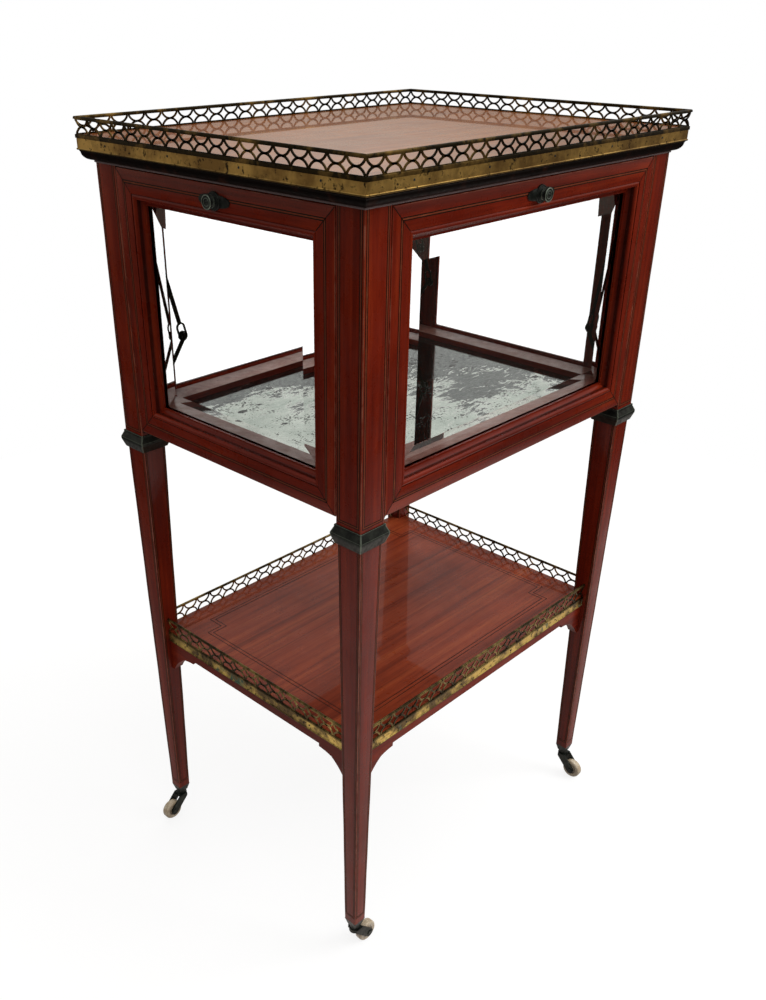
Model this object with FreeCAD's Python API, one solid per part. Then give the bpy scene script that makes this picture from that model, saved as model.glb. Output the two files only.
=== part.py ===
import FreeCAD, Part
import math
import os

Vector = FreeCAD.Vector
origin = Vector(0, 0, 0)
up = Vector(0, 0, 1)

# Millimetres. The floor is at height 0, the front faces -Y and the left side faces -X.

# Carcass: each leg is a square post above the collar and a square taper below it
cabinet_width = 450.0
cabinet_depth = 345.0
post_size = 30.0
post_top = 808.0
collar_bottom = 522.5
collar_height = 19.0
collar_foot_projection = 0.7
collar_fascia_height = 9.0
collar_fascia_projection = 3.2
collar_nosing_height = 3.0
collar_nosing_rise = 0.9
collar_nosing_setback = 0.6
collar_fillet_height = 2.2
collar_fillet_projection = 1.2
leg_top_size = 28.0
leg_end_size = 16.0
leg_end_height = 46.0

# Top: edge moulding, board, brass band and pierced gallery
edge_moulding_height = 11.0
edge_moulding_inside = 38.0
edge_fillet_projection = 1.0
edge_fillet_height = 1.6
edge_top_projection = 10.0
edge_ovolo_rise = 2.6
top_board_thickness = 13.0
top_overhang = 11.0
band_thickness = 1.2
top_band_height = 13.6
band_bead_projection = 0.7
band_bead_height = 1.8
band_ledge_height = 1.1
gallery_pitch = 19.6
gallery_wire = 1.8
gallery_lip = 0.7
gallery_thickness = 1.0
gallery_setback = 0.1
top_gallery_height = 12.9
rim_width = 2.8
rim_height = 2.5
rim_spring_height = 1.0
pin_head_radius = 1.1
pin_face_radius = 0.55
pin_head_height = 0.6
pin_spacing = 92.0

# Doors: four fall fronts between the posts
door_thickness = 20.0
door_above_collar = 6.5
door_top_gap = 1.0
door_side_gap = 0.8
door_member_width = 26.0
door_bead_width = 5.2
door_quirk_depth = 1.0
door_bead_drop = 3.0
door_bead_rise = 1.7
door_step_drop = 6.0
door_lip_reach = 5.0
door_lip_thickness = 2.4
door_hollow_depth = 0.9
glass_depth = 11.0
glass_thickness = 5.5
glass_edge_thickness = 2.2
glass_bevel = 18.0
rebate_width = 7.2
glass_edge_clearance = 0.3
glazing_bead_flat = 2.2
glazing_bead_rise = 0.85
knob_below_top = 13.0
knob_plate_length = 46.0
knob_plate_height = 11.0
knob_plate_thickness = 1.2
knob_rose_radius = 8.0
knob_rose_rim = 1.6
knob_rose_thickness = 2.6
knob_neck_radius = 3.0
knob_radius = 6.3
knob_projection = 10.5
knob_neck_length = 4.2
knob_dome = 2.6
pivot_radius = 3.0
pivot_in_door = 8.0
pivot_in_post = 7.0
running_clearance = 0.05
door_stop_height = 11.0
moving_clearance = 0.3

# Cabinet floor: a raised wooden border round a sunk mirror on its backboard
floor_above_pivot = 18.8
floor_border = 25.0
mirror_thickness = 4.0
mirror_below_floor = 6.5
mirror_edge_clearance = 0.3
backboard_thickness = 6.0
backboard_rebate = 6.3

# Door stays: a slotted upper arm on the post, a lower arm on the door
stay_inset = 5.0
stay_stud_below_top = 22.0
stay_lug_rise = 23.0
stay_lower_length = 68.0
stay_slack = 6.0
stay_door_swing = 90.0
stay_clearance = 0.4
stay_arm_thickness = 1.6
stay_arm_width = 4.2
stay_eye_radius = 3.6
stay_pivot_radius = 2.0
stay_head_radius = 3.3
stay_head_thickness = 0.9
stay_elbow_radius = 1.5
stay_slot_wall = 1.7
stay_stud_depth = 8.0
lug_foot_length = 10.0
lug_foot_thickness = 1.4
lug_ear_thickness = 1.8

# Shelf between the legs
shelf_top = 290.0
shelf_thickness = 12.0
shelf_setback = 8.0
shelf_band_height = 12.0
shelf_band_below_top = 1.0
shelf_gallery_height = 16.5
shelf_notch_clearance = 0.1
apron_height = 12.0
apron_thickness = 14.0
bracket_length = 42.0
bracket_drop = 30.0
bracket_step = 4.0
bracket_hollow_length = 18.0
bracket_hollow_drop = 3.0
bracket_hollow_rise = 0.6
bracket_cove_rise = 2.0
bracket_foot = 3.0
bracket_thickness = 12.0

# Castors: cup, horn with its spindle, axle and wheel
cup_taper_height = 10.0
cup_neck_size = 10.6
cup_neck_height = 4.0
spindle_radius = 3.0
spindle_in_cup = 9.0
horn_gap = 0.3
crown_radius = 6.4
crown_depth = 4.5
horn_front = 3.5
castor_trail = 17.5
wheel_radius = 12.5
wheel_width = 9.0
wheel_edge_round = 2.2
wheel_side_gap = 0.4
cheek_thickness = 2.2
axle_radius = 2.0
axle_boss_radius = 5.2
axle_head_radius = 3.2
axle_head_height = 0.9
castor_headings = (0, -90, 90, 180)

side_names = ("front", "right", "back", "left")
leg_names = ("front_left", "front_right", "back_right", "back_left")

# Heights and half sizes that follow from the driving sizes
half_width = cabinet_width / 2
half_depth = cabinet_depth / 2
collar_top = collar_bottom + collar_height
door_bottom = collar_top + door_above_collar
door_top = post_top - door_top_gap
door_pivot_depth = door_thickness / 2
door_pivot_height = door_bottom + door_pivot_depth
floor_top = door_pivot_height + floor_above_pivot
door_rebate_start = door_member_width + door_lip_reach - rebate_width
board_bottom = post_top + edge_moulding_height
board_top = board_bottom + top_board_thickness
band_top = board_bottom + top_band_height
post_inset = post_size / 2
stud_height = post_top - stay_stud_below_top
lug_height = door_pivot_height + stay_lug_rise
upper_arm_start = stay_clearance + stay_head_thickness + stay_clearance
lower_arm_start = upper_arm_start + stay_arm_thickness + stay_clearance
lug_ear_start = lower_arm_start + stay_arm_thickness + stay_clearance
cup_taper_bottom = leg_end_height - cup_taper_height
cup_bottom = cup_taper_bottom - cup_neck_height
horn_top = cup_bottom - horn_gap
cheek_inside = wheel_width / 2 + wheel_side_gap
cheek_outside = cheek_inside + cheek_thickness


def leg_half_size(height):
    """Half the leg's width at a height on its taper."""
    share = (height - leg_end_height) / (collar_bottom - leg_end_height)
    return (leg_end_size + (leg_top_size - leg_end_size) * share) / 2


def half_sizes(quarter):
    """Half length along a side and half distance out to it, for the side turned by that many quarters."""
    if quarter % 2 == 0:
        return half_width, half_depth
    return half_depth, half_width


def box(x0, x1, y0, y1, z0, z1):
    return Part.makeBox(x1 - x0, y1 - y0, z1 - z0, Vector(x0, y0, z0))


def rod_x(x0, x1, y, z, radius):
    return Part.makeCylinder(radius, x1 - x0, Vector(x0, y, z), Vector(1, 0, 0))


def rod_y(x, y0, y1, z, radius):
    return Part.makeCylinder(radius, y1 - y0, Vector(x, y0, z), Vector(0, 1, 0))


def rod_z(x, y, z0, z1, radius):
    return Part.makeCylinder(radius, z1 - z0, Vector(x, y, z0), up)


def turned(shape, quarter):
    """A copy of a front piece, carried round to another side of the table."""
    copy = shape.copy()
    copy.rotate(origin, up, 90 * quarter)
    return copy


def joined(first, *others):
    return first.fuse(list(others)).removeSplitter().Solids[0]


def outline(place, start, steps):
    """Closed wire from a start point.

    A step is a point to draw to, or a pair: a point on an arc and its end.
    """
    edges = []
    here = start
    for step in steps:
        if isinstance(step[0], tuple):
            edges.append(Part.Arc(place(*here), place(*step[0]), place(*step[1])).toShape())
            here = step[1]
        else:
            edges.append(Part.LineSegment(place(*here), place(*step)).toShape())
            here = step
    if here != start:
        edges.append(Part.LineSegment(place(*here), place(*start)).toShape())
    return Part.Wire(edges)


def prism(place, start, steps, direction):
    return Part.Face(outline(place, start, steps)).extrude(direction)


def bowed(start, end, rise):
    """An arc step from start to end, whose middle stands off the chord by the rise, on the right."""
    length = math.dist(start, end)
    across = ((end[1] - start[1]) / length, (start[0] - end[0]) / length)
    return ((start[0] + end[0]) / 2 + across[0] * rise, (start[1] + end[1]) / 2 + across[1] * rise), end


def mitred_side(half_along, half_out, start, steps):
    """A section of (out, height) carried along the front side, with both ends cut at 45 degrees."""
    section = outline(lambda out, height: Vector(0, -half_out - out, height), start, steps)
    limits = section.BoundBox
    low = -half_out - limits.YMax
    high = -half_out - limits.YMin
    reach = half_along + high
    run = Part.Face(section).extrude(Vector(2 * reach, 0, 0))
    run.translate(Vector(-reach, 0, 0))
    wedge = prism(
        lambda x, out: Vector(x, -half_out - out, limits.ZMin - 1),
        (-half_along - low, low),
        [(half_along + low, low), (half_along + high, high), (-half_along - high, high)],
        Vector(0, 0, limits.ZLength + 2),
    )
    return run.common(wedge).Solids[0]


def mitred_ring(half_x, half_y, start, steps):
    """Four mitred lengths of one section round a rectangle."""
    sides = []
    for quarter in range(4):
        along, out = (half_x, half_y) if quarter % 2 == 0 else (half_y, half_x)
        sides.append(turned(mitred_side(along, out, start, steps), quarter))
    return sides


def save(name, solids):
    Part.makeCompound(solids).exportStep(f"parts/{name}.step")


# Legs and collars


def leg(quarter):
    """The leg at the left end of a side: post and taper, with two door pivot holes and a stud hole."""
    along, out = half_sizes(quarter)
    x = -along + post_inset
    y = -out + post_inset
    post = box(-along, -along + post_size, -out, -out + post_size, collar_bottom, post_top)
    sections = []
    for size, height in ((leg_end_size, leg_end_height), (leg_top_size, collar_bottom)):
        half = size / 2
        corners = [(-half, -half), (half, -half), (half, half), (-half, half), (-half, -half)]
        sections.append(Part.makePolygon([Vector(x + a, y + b, height) for a, b in corners]))
    solid = joined(post, Part.makeLoft(sections, True, True))
    hole = pivot_radius + running_clearance
    face_x = -along + post_size
    face_y = -out + post_size
    depth = pivot_in_post + moving_clearance
    solid = solid.cut(rod_x(face_x - depth, face_x, -out + door_pivot_depth, door_pivot_height, hole))
    solid = solid.cut(rod_y(-along + door_pivot_depth, face_y - depth, face_y, door_pivot_height, hole))
    stud_y = -out + door_thickness + stay_inset
    stud_hole = stay_pivot_radius + running_clearance
    solid = solid.cut(rod_x(face_x - stay_stud_depth, face_x, stud_y, stud_height, stud_hole))
    return turned(solid.Solids[0], quarter)


def collar(quarter):
    """A moulding mitred round the foot of a post: a deep fascia, a round nosing and a sloped head."""
    along, out = half_sizes(quarter)
    nosing_start = (collar_fascia_projection, collar_bottom + collar_fascia_height)
    nosing_end = (collar_fascia_projection - collar_nosing_setback, nosing_start[1] + collar_nosing_height)
    sides = mitred_ring(post_inset, post_inset, (0, collar_bottom), [
        (collar_foot_projection, collar_bottom),
        nosing_start,
        bowed(nosing_start, nosing_end, collar_nosing_rise),
        (collar_fillet_projection, collar_top - collar_fillet_height),
        (collar_fillet_projection, collar_top),
        (0, collar_top),
    ])
    ring = joined(*sides)
    ring.translate(Vector(-along + post_inset, -out + post_inset, 0))
    return turned(ring, quarter)


# Top


def edge_moulding():
    """Fillet and ovolo round the top of the carcass; its inner part carries the door stops."""
    ovolo_start = (edge_fillet_projection, post_top + edge_fillet_height)
    return mitred_ring(half_width, half_depth, (-edge_moulding_inside, post_top), [
        (edge_fillet_projection, post_top),
        ovolo_start,
        bowed(ovolo_start, (edge_top_projection, board_bottom), edge_ovolo_rise),
        (-edge_moulding_inside, board_bottom),
    ])


def band_ring(half_x, half_y, bottom, height):
    """Brass band with a bead along its lower edge and a small ledge along its top."""
    top = bottom + height
    bead_middle = bottom + band_bead_height / 2
    return mitred_ring(half_x, half_y, (-band_thickness, bottom), [
        (0, bottom),
        ((band_bead_projection, bead_middle), (0, bottom + band_bead_height)),
        (0, top - band_ledge_height),
        (band_bead_projection, top - band_ledge_height),
        (band_bead_projection, top),
        (-band_thickness, top),
    ])


def rim_ring(half_x, half_y, bottom):
    """Rounded brass rail along the top of a gallery, centred on the pierced strip."""
    middle = -gallery_setback - gallery_thickness / 2
    inner = middle - rim_width / 2
    outer = middle + rim_width / 2
    spring = bottom + rim_spring_height
    return mitred_ring(half_x, half_y, (inner, bottom), [
        (outer, bottom),
        (outer, spring),
        ((middle, bottom + rim_height), (inner, spring)),
    ])


def arc_step(centre, radius, start, end):
    """An arc step from start to end on a circle, by way of the point midway between them."""
    away = (start[0] + end[0] - 2 * centre[0], start[1] + end[1] - 2 * centre[1])
    stretch = radius / math.hypot(*away)
    return ((centre[0] + away[0] * stretch, centre[1] + away[1] * stretch), end)


def pierced_strip(length, height):
    """A strip of upright and hanging arches back to back, standing on height 0 with its outer face at y 0."""
    count = max(2, round(length / gallery_pitch))
    pitch = length / count
    middle = height / 2
    rise = middle - gallery_lip
    radius = (pitch * pitch / 4 + rise * rise) / (2 * rise)
    inner = radius - gallery_wire / 2
    outer = radius + gallery_wire / 2
    chord = math.sqrt(inner ** 2 - (radius - rise) ** 2)
    waist = math.sqrt(outer ** 2 - radius ** 2)
    point = radius - math.sqrt(outer ** 2 - pitch ** 2 / 4)

    def place(x, z):
        return Vector(x, 0, z)

    def diamond_half(x, side):
        """The half of a diamond that lies beside the arch at x, from its lower point to its upper one."""
        lower = (x + side * pitch / 2, middle - point)
        upper = (x + side * pitch / 2, middle + point)
        neck = (x + side * waist, middle)
        lower_arc = arc_step((x, middle - radius), outer, lower, neck)
        upper_arc = arc_step((x, middle + radius), outer, neck, upper)
        return lower, [lower_arc, upper_arc]

    end = length / 2
    first = -end + pitch / 2
    last = end - pitch / 2
    right_start, right_steps = diamond_half(last, 1)
    left_start, left_steps = diamond_half(first, -1)
    left_neck = left_steps[0][1]
    left_top = left_steps[1][1]
    steps = [(end, 0), right_start, *right_steps, (end, height), (-end, height), left_top]
    steps.append(arc_step((first, middle + radius), outer, left_top, left_neck))
    steps.append(arc_step((first, middle - radius), outer, left_neck, left_start))
    wires = [outline(place, (-end, 0), steps)]
    for index in range(count):
        x = first + index * pitch
        for way in (1, -1):
            edge = middle + way * rise
            crown = (x, middle + way * gallery_wire / 2)
            wires.append(outline(place, (x - chord, edge), [(crown, (x + chord, edge))]))
        if index < count - 1:
            start, left_side = diamond_half(x, 1)
            top = left_side[1][1]
            neck = (x + pitch - waist, middle)
            right_side = [
                arc_step((x + pitch, middle + radius), outer, top, neck),
                arc_step((x + pitch, middle - radius), outer, neck, start),
            ]
            wires.append(outline(place, start, left_side + right_side))
    return Part.Face(wires, "Part::FaceMakerBullseye").extrude(Vector(0, gallery_thickness, 0))


def gallery_strips(half_x, half_y, bottom, height, end_x, end_y):
    """Four pierced strips round a rectangle, of half lengths end_x (front, back) and end_y (sides)."""
    strips = []
    for quarter in range(4):
        end, out = (end_x, half_y) if quarter % 2 == 0 else (end_y, half_x)
        strip = pierced_strip(2 * end, height)
        strip.translate(Vector(0, -out + gallery_setback, bottom))
        strips.append(turned(strip, quarter))
    return strips


def band_pins(half_x, half_y, end_x, end_y, height):
    """Small brass pin heads along the middle of a band."""
    heads = []
    for quarter in range(4):
        end, out = (end_x, half_y) if quarter % 2 == 0 else (end_y, half_x)
        count = max(2, round(2 * end / pin_spacing))
        first = -(count - 1) / 2 * pin_spacing
        for index in range(count):
            foot = Vector(first + index * pin_spacing, -out, height)
            head = Part.makeCone(pin_head_radius, pin_face_radius, pin_head_height, foot, Vector(0, -1, 0))
            heads.append(turned(head, quarter))
    return heads


# Cabinet floor and door stops


def floor_border_frame():
    """Four mitred members round the mirror, notched at the posts and rebated below for the backboard."""
    mirror_bottom = floor_top - mirror_below_floor - mirror_thickness
    clear = door_thickness + moving_clearance
    members = mitred_ring(half_width - clear, half_depth - clear, (0, door_bottom), [
        (0, floor_top),
        (-floor_border, floor_top),
        (-floor_border, mirror_bottom),
        (-floor_border + backboard_rebate, mirror_bottom),
        (-floor_border + backboard_rebate, door_bottom),
    ])
    posts = []
    for quarter in range(4):
        along, out = half_sizes(quarter)
        post = box(-along, -along + post_size, -out, -out + post_size, collar_bottom, post_top)
        posts.append(turned(post, quarter))
    return [member.cut(posts).Solids[0] for member in members]


def mirror_plate():
    reach = door_thickness + moving_clearance + floor_border + mirror_edge_clearance
    x = half_width - reach
    y = half_depth - reach
    top = floor_top - mirror_below_floor
    return box(-x, x, -y, y, top - mirror_thickness, top)


def mirror_backboard():
    reach = door_thickness + moving_clearance + floor_border + mirror_edge_clearance - backboard_rebate
    x = half_width - reach
    y = half_depth - reach
    top = floor_top - mirror_below_floor - mirror_thickness
    return box(-x, x, -y, y, top - backboard_thickness, top)


def door_stop(quarter):
    """Strip under the top that a shut door closes against."""
    along, out = half_sizes(quarter)
    front = -out + door_thickness + moving_clearance
    end = along - post_size
    return turned(box(-end, end, front, -out + post_size, post_top - door_stop_height, post_top), quarter)


# Doors


def door_size(quarter):
    """Half width of a door and the y of its front face, drawn as if its side were the front."""
    along, out = half_sizes(quarter)
    return along - post_size - door_side_gap, -out


def framed(half, front, start, steps, reach):
    """Two rails and two stiles of a section (in from the edge, depth), mitred together."""
    bottom = door_bottom
    top = door_top
    deep = Vector(0, door_thickness, 0)
    wide = Vector(2 * half, 0, 0)
    high = Vector(0, 0, top - bottom)
    bottom_rail = prism(lambda w, d: Vector(-half, front + d, bottom + w), start, steps, wide)
    top_rail = prism(lambda w, d: Vector(-half, front + d, top - w), start, steps, wide)
    left = prism(lambda w, d: Vector(-half + w, front + d, bottom), start, steps, high)
    right = prism(lambda w, d: Vector(half - w, front + d, bottom), start, steps, high)

    def mitre(corners):
        return prism(lambda x, z: Vector(x, front, z), corners[0], corners[1:], deep)

    inner = half - reach
    rail_low = mitre([(-half, bottom), (half, bottom), (inner, bottom + reach), (-inner, bottom + reach)])
    rail_high = mitre([(-half, top), (half, top), (inner, top - reach), (-inner, top - reach)])
    stile_left = mitre([(-half, bottom), (-inner, bottom + reach), (-inner, top - reach), (-half, top)])
    stile_right = mitre([(half, bottom), (inner, bottom + reach), (inner, top - reach), (half, top)])
    pairs = ((bottom_rail, rail_low), (top_rail, rail_high), (left, stile_left), (right, stile_right))
    return [member.common(limit).Solids[0] for member, limit in pairs]


def door_frame(quarter):
    """Moulded members, rounded about the pivot at the inner bottom edge and bored for the pivot pins."""
    half, front = door_size(quarter)
    bead_start = door_member_width - door_bead_width
    quirk = (bead_start, door_quirk_depth)
    step = (door_member_width, door_step_drop)
    lip_end = door_member_width + door_lip_reach
    members = framed(half, front, (0, 0), [
        (bead_start, 0),
        quirk,
        bowed(quirk, (door_member_width, door_bead_drop), door_bead_rise),
        step,
        bowed(step, (lip_end, glass_depth - door_lip_thickness), -door_hollow_depth),
        (lip_end, glass_depth),
        (door_rebate_start, glass_depth),
        (door_rebate_start, door_thickness),
        (0, door_thickness),
    ], lip_end)
    pivot_y = front + door_pivot_depth
    edge = box(-half, half, pivot_y, front + door_thickness, door_bottom, door_pivot_height)
    edge = edge.cut(rod_x(-half, half, pivot_y, door_pivot_height, door_pivot_depth))
    hole = pivot_radius + running_clearance
    left_hole = rod_x(-half, -half + pivot_in_door, pivot_y, door_pivot_height, hole)
    right_hole = rod_x(half - pivot_in_door, half, pivot_y, door_pivot_height, hole)
    shaped = [member.cut([edge, left_hole, right_hole]).Solids[0] for member in members]
    return [turned(member, quarter) for member in shaped]


def door_glass(quarter):
    """Plate with a wide bevel round its front, sitting in the rebate."""
    half, front = door_size(quarter)
    edge = door_rebate_start + glass_edge_clearance
    back = front + glass_depth + glass_thickness
    flat = door_member_width + door_lip_reach + glass_bevel
    levels = ((edge, back), (edge, back - glass_edge_thickness), (flat, front + glass_depth))
    sections = []
    for inset, y in levels:
        x = half - inset
        low = door_bottom + inset
        high = door_top - inset
        corners = [(-x, low), (x, low), (x, high), (-x, high), (-x, low)]
        sections.append(Part.makePolygon([Vector(a, y, b) for a, b in corners]))
    return turned(Part.makeLoft(sections, True, True), quarter)


def glazing_beads(quarter):
    """Quarter-round beads behind the glass."""
    half, front = door_size(quarter)
    start = door_rebate_start
    back = glass_depth + glass_thickness
    reach = start + rebate_width
    beads = framed(half, front, (start, back), [
        (reach, back),
        bowed((reach, back), (start + glazing_bead_flat, door_thickness), glazing_bead_rise),
        (start, door_thickness),
    ], reach)
    return [turned(bead, quarter) for bead in beads]


def knob(quarter):
    """Turned knob in the middle of the top rail, on a round rose over a plate with two pointed ends.

    The knob's domed face is a cap of a sphere.
    """
    front = door_size(quarter)[1]
    rim = knob_projection - knob_dome
    dome_radius = (knob_radius ** 2 + knob_dome ** 2) / (2 * knob_dome)
    half_angle = math.asin(knob_radius / dome_radius) / 2
    dome_middle = (
        dome_radius * math.sin(half_angle),
        knob_projection - dome_radius * (1 - math.cos(half_angle)),
    )
    height = door_top - knob_below_top
    section = outline(lambda r, out: Vector(r, front - out, height), (0, 0), [
        (knob_rose_radius, 0),
        (knob_rose_radius, knob_rose_rim),
        (knob_neck_radius, knob_rose_thickness),
        (knob_neck_radius, knob_neck_length),
        (knob_radius, rim),
        (dome_middle, (0, knob_projection)),
    ])
    turning = Part.Face(section).revolve(Vector(0, front, height), Vector(0, 1, 0), 360)
    left_point = (-knob_plate_length / 2, 0)
    right_point = (knob_plate_length / 2, 0)
    plate = prism(
        lambda x, z: Vector(x, front, height + z),
        left_point,
        [
            bowed(left_point, right_point, knob_plate_height / 2),
            bowed(right_point, left_point, knob_plate_height / 2),
        ],
        Vector(0, -knob_plate_thickness, 0),
    )
    return turned(joined(turning, plate), quarter)


def door_fittings(quarter):
    """Two pivot pins, and the lug that carries the stay's lower arm."""
    half, front = door_size(quarter)
    pivot_y = front + door_pivot_depth
    reach = door_side_gap + pivot_in_post
    left_pin = rod_x(-half - reach, -half + pivot_in_door, pivot_y, door_pivot_height, pivot_radius)
    right_pin = rod_x(half - pivot_in_door, half + reach, pivot_y, door_pivot_height, pivot_radius)
    post_face = -half - door_side_gap
    inner_face = front + door_thickness
    lug_y = inner_face + stay_inset
    ear_start = post_face + lug_ear_start
    ear_end = ear_start + lug_ear_thickness
    lug_low = lug_height - stay_eye_radius
    lug_high = lug_height + stay_eye_radius
    ear = box(ear_start, ear_end, inner_face, lug_y, lug_low, lug_high)
    ear_round = rod_x(ear_start, ear_end, lug_y, lug_height, stay_eye_radius)
    foot_end = ear_end + lug_foot_length
    foot = box(ear_start, foot_end, inner_face, inner_face + lug_foot_thickness, lug_low, lug_high)
    pin_end = post_face + lower_arm_start - stay_clearance
    pin = rod_x(pin_end, ear_start, lug_y, lug_height, stay_pivot_radius)
    head = rod_x(pin_end - stay_head_thickness, pin_end, lug_y, lug_height, stay_head_radius)
    lug = joined(ear, ear_round, foot, pin, head)
    return [turned(piece, quarter) for piece in (left_pin, right_pin, lug)]


# Stays


def rotated(vector, angle):
    """A (y, z) pair turned by the right-hand rule about +X."""
    y, z = vector
    return y * math.cos(angle) - z * math.sin(angle), y * math.sin(angle) + z * math.cos(angle)


def corner_angle(near, far, opposite):
    """Angle of a triangle between two of its sides."""
    return math.acos((near ** 2 + far ** 2 - opposite ** 2) / (2 * near * far))


def bearing(start, end):
    return math.atan2(end[1] - start[1], end[0] - start[0])


def swung_lug(front, swing):
    """The (y, z) of a door's stay lug when the door has fallen by an angle."""
    pivot_y = front + door_pivot_depth
    y, z = rotated((door_thickness + stay_inset - door_pivot_depth, stay_lug_rise), swing)
    return pivot_y + y, door_pivot_height + z


def stay_linkage(front):
    """The stud and shut elbow of a front-side stay as (y, z) pairs, and each arm's turn per turn of the door.

    The two arms are longer by the slack than the span to the open door's lug, and fold inwards as it shuts.
    """
    swing = math.radians(stay_door_swing)
    stud = (front + door_thickness + stay_inset, stud_height)
    lug = swung_lug(front, 0)
    open_lug = swung_lug(front, swing)
    span = math.dist(stud, open_lug)
    upper_length = span + stay_slack - stay_lower_length
    lean = corner_angle(stay_lower_length, math.dist(stud, lug), upper_length)
    elbow = (lug[0] + stay_lower_length * math.sin(lean), lug[1] + stay_lower_length * math.cos(lean))
    down = bearing(stud, open_lug)
    open_upper = down + corner_angle(upper_length, span, stay_lower_length)
    open_lower = down + math.pi - corner_angle(stay_lower_length, span, upper_length)
    upper_ratio = (open_upper - bearing(stud, elbow)) / swing
    lower_ratio = (open_lower - bearing(lug, elbow)) / swing - 1
    return stud, elbow, upper_ratio, lower_ratio


def elbow_travel(front):
    """Nearest and farthest reach of the elbow pin along the upper arm, and its most sideways miss."""
    stud, elbow, upper_ratio, lower_ratio = stay_linkage(front)
    lug = swung_lug(front, 0)
    arm = (elbow[0] - lug[0], elbow[1] - lug[1])
    alongs = []
    misses = []
    steps = 90
    for step in range(steps + 1):
        swing = math.radians(stay_door_swing) * step / steps
        lug_y, lug_z = swung_lug(front, swing)
        arm_y, arm_z = rotated(arm, swing * (1 + lower_ratio))
        pin = (lug_y + arm_y - stud[0], lug_z + arm_z - stud[1])
        along, miss = rotated(pin, -bearing(stud, elbow) - swing * upper_ratio)
        alongs.append(along)
        misses.append(abs(miss))
    return min(alongs), max(alongs), max(misses)


def plate_along(start, end, post_face, layer, shapes):
    """Flat shapes drawn along +Y from the start point at x 0, turned to lie from start towards end."""
    plate = joined(*shapes)
    plate.rotate(origin, Vector(1, 0, 0), math.degrees(bearing(start, end)))
    plate.translate(Vector(post_face + layer, start[0], start[1]))
    return plate


def upper_stay_arm(quarter):
    """Arm that turns on the stud, with a slot at its end for the elbow pin."""
    half, front = door_size(quarter)
    stud, elbow = stay_linkage(front)[:2]
    near, far, miss = elbow_travel(front)
    slot_half = stay_elbow_radius + miss + moving_clearance
    wall_half = slot_half + stay_slot_wall
    eye = rod_x(0, stay_arm_thickness, 0, 0, stay_eye_radius)
    bar = box(0, stay_arm_thickness, 0, far, -stay_arm_width / 2, stay_arm_width / 2)
    head = box(0, stay_arm_thickness, near, far, -wall_half, wall_half)
    head_near = rod_x(0, stay_arm_thickness, near, 0, wall_half)
    head_far = rod_x(0, stay_arm_thickness, far, 0, wall_half)
    body = joined(eye, bar, head, head_near, head_far)
    slot = joined(
        box(0, stay_arm_thickness, near, far, -slot_half, slot_half),
        rod_x(0, stay_arm_thickness, near, 0, slot_half),
        rod_x(0, stay_arm_thickness, far, 0, slot_half),
    )
    hole = rod_x(0, stay_arm_thickness, 0, 0, stay_pivot_radius + running_clearance)
    arm = body.cut([slot, hole])
    return turned(plate_along(stud, elbow, -half - door_side_gap, upper_arm_start, [arm]), quarter)


def lower_stay_arm(quarter):
    """Arm that turns on the door's lug and carries the headed elbow pin."""
    half, front = door_size(quarter)
    elbow = stay_linkage(front)[1]
    lug = swung_lug(front, 0)
    miss = elbow_travel(front)[2]
    length = stay_lower_length
    eye = rod_x(0, stay_arm_thickness, 0, 0, stay_eye_radius)
    eye_far = rod_x(0, stay_arm_thickness, length, 0, stay_eye_radius)
    bar = box(0, stay_arm_thickness, 0, length, -stay_arm_width / 2, stay_arm_width / 2)
    pin_end = upper_arm_start - stay_clearance - lower_arm_start
    pin = rod_x(pin_end, 0, length, 0, stay_elbow_radius)
    cap_radius = stay_elbow_radius + miss + stay_slot_wall
    cap = rod_x(pin_end - stay_head_thickness, pin_end, length, 0, cap_radius)
    hole = rod_x(0, stay_arm_thickness, 0, 0, stay_pivot_radius + running_clearance)
    arm = joined(eye, bar, eye_far, pin, cap).cut(hole)
    return turned(plate_along(lug, elbow, -half - door_side_gap, lower_arm_start, [arm]), quarter)


def stay_stud(quarter):
    """Headed stud in the post, with a shoulder that holds the upper arm off the wood."""
    half, front = door_size(quarter)
    y, z = stay_linkage(front)[0]
    face = -half - door_side_gap
    shoulder = rod_x(face, face + upper_arm_start - stay_clearance, y, z, stay_head_radius)
    head_start = face + lower_arm_start
    shaft = rod_x(face - stay_stud_depth, head_start, y, z, stay_pivot_radius)
    head = rod_x(head_start, head_start + stay_head_thickness, y, z, stay_head_radius)
    return turned(joined(shoulder, shaft, head), quarter)


# Shelf

shelf_bottom = shelf_top - shelf_thickness
shelf_band_top = shelf_top - shelf_band_below_top
shelf_band_bottom = shelf_band_top - shelf_band_height
shelf_rim_bottom = shelf_band_top + shelf_gallery_height
shelf_rim_top = shelf_rim_bottom + rim_height
shelf_half_x = half_width - post_inset + leg_half_size(shelf_top) - shelf_setback
shelf_half_y = half_depth - post_inset + leg_half_size(shelf_top) - shelf_setback
apron_bottom = shelf_bottom - apron_height


def between_legs(quarter, height):
    """Half the clear length between two legs along a side, at a height."""
    along = half_sizes(quarter)[0]
    return along - post_inset - leg_half_size(height)


def shelf_side(quarter):
    """Distance out to the face of the brass band on a side of the shelf."""
    return shelf_half_y if quarter % 2 == 0 else shelf_half_x


def shelf_board():
    """Board inside the brass bands, with a square notch for each leg."""
    x = shelf_half_x - band_thickness
    y = shelf_half_y - band_thickness
    board = box(-x, x, -y, y, shelf_bottom, shelf_top)
    notch_x = between_legs(0, shelf_top) - shelf_notch_clearance
    notch_y = between_legs(1, shelf_top) - shelf_notch_clearance
    for x0, x1 in ((-half_width, -notch_x), (notch_x, half_width)):
        for y0, y1 in ((-half_depth, -notch_y), (notch_y, half_depth)):
            board = board.cut(box(x0, x1, y0, y1, shelf_bottom, shelf_top))
    return board.Solids[0]


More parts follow.
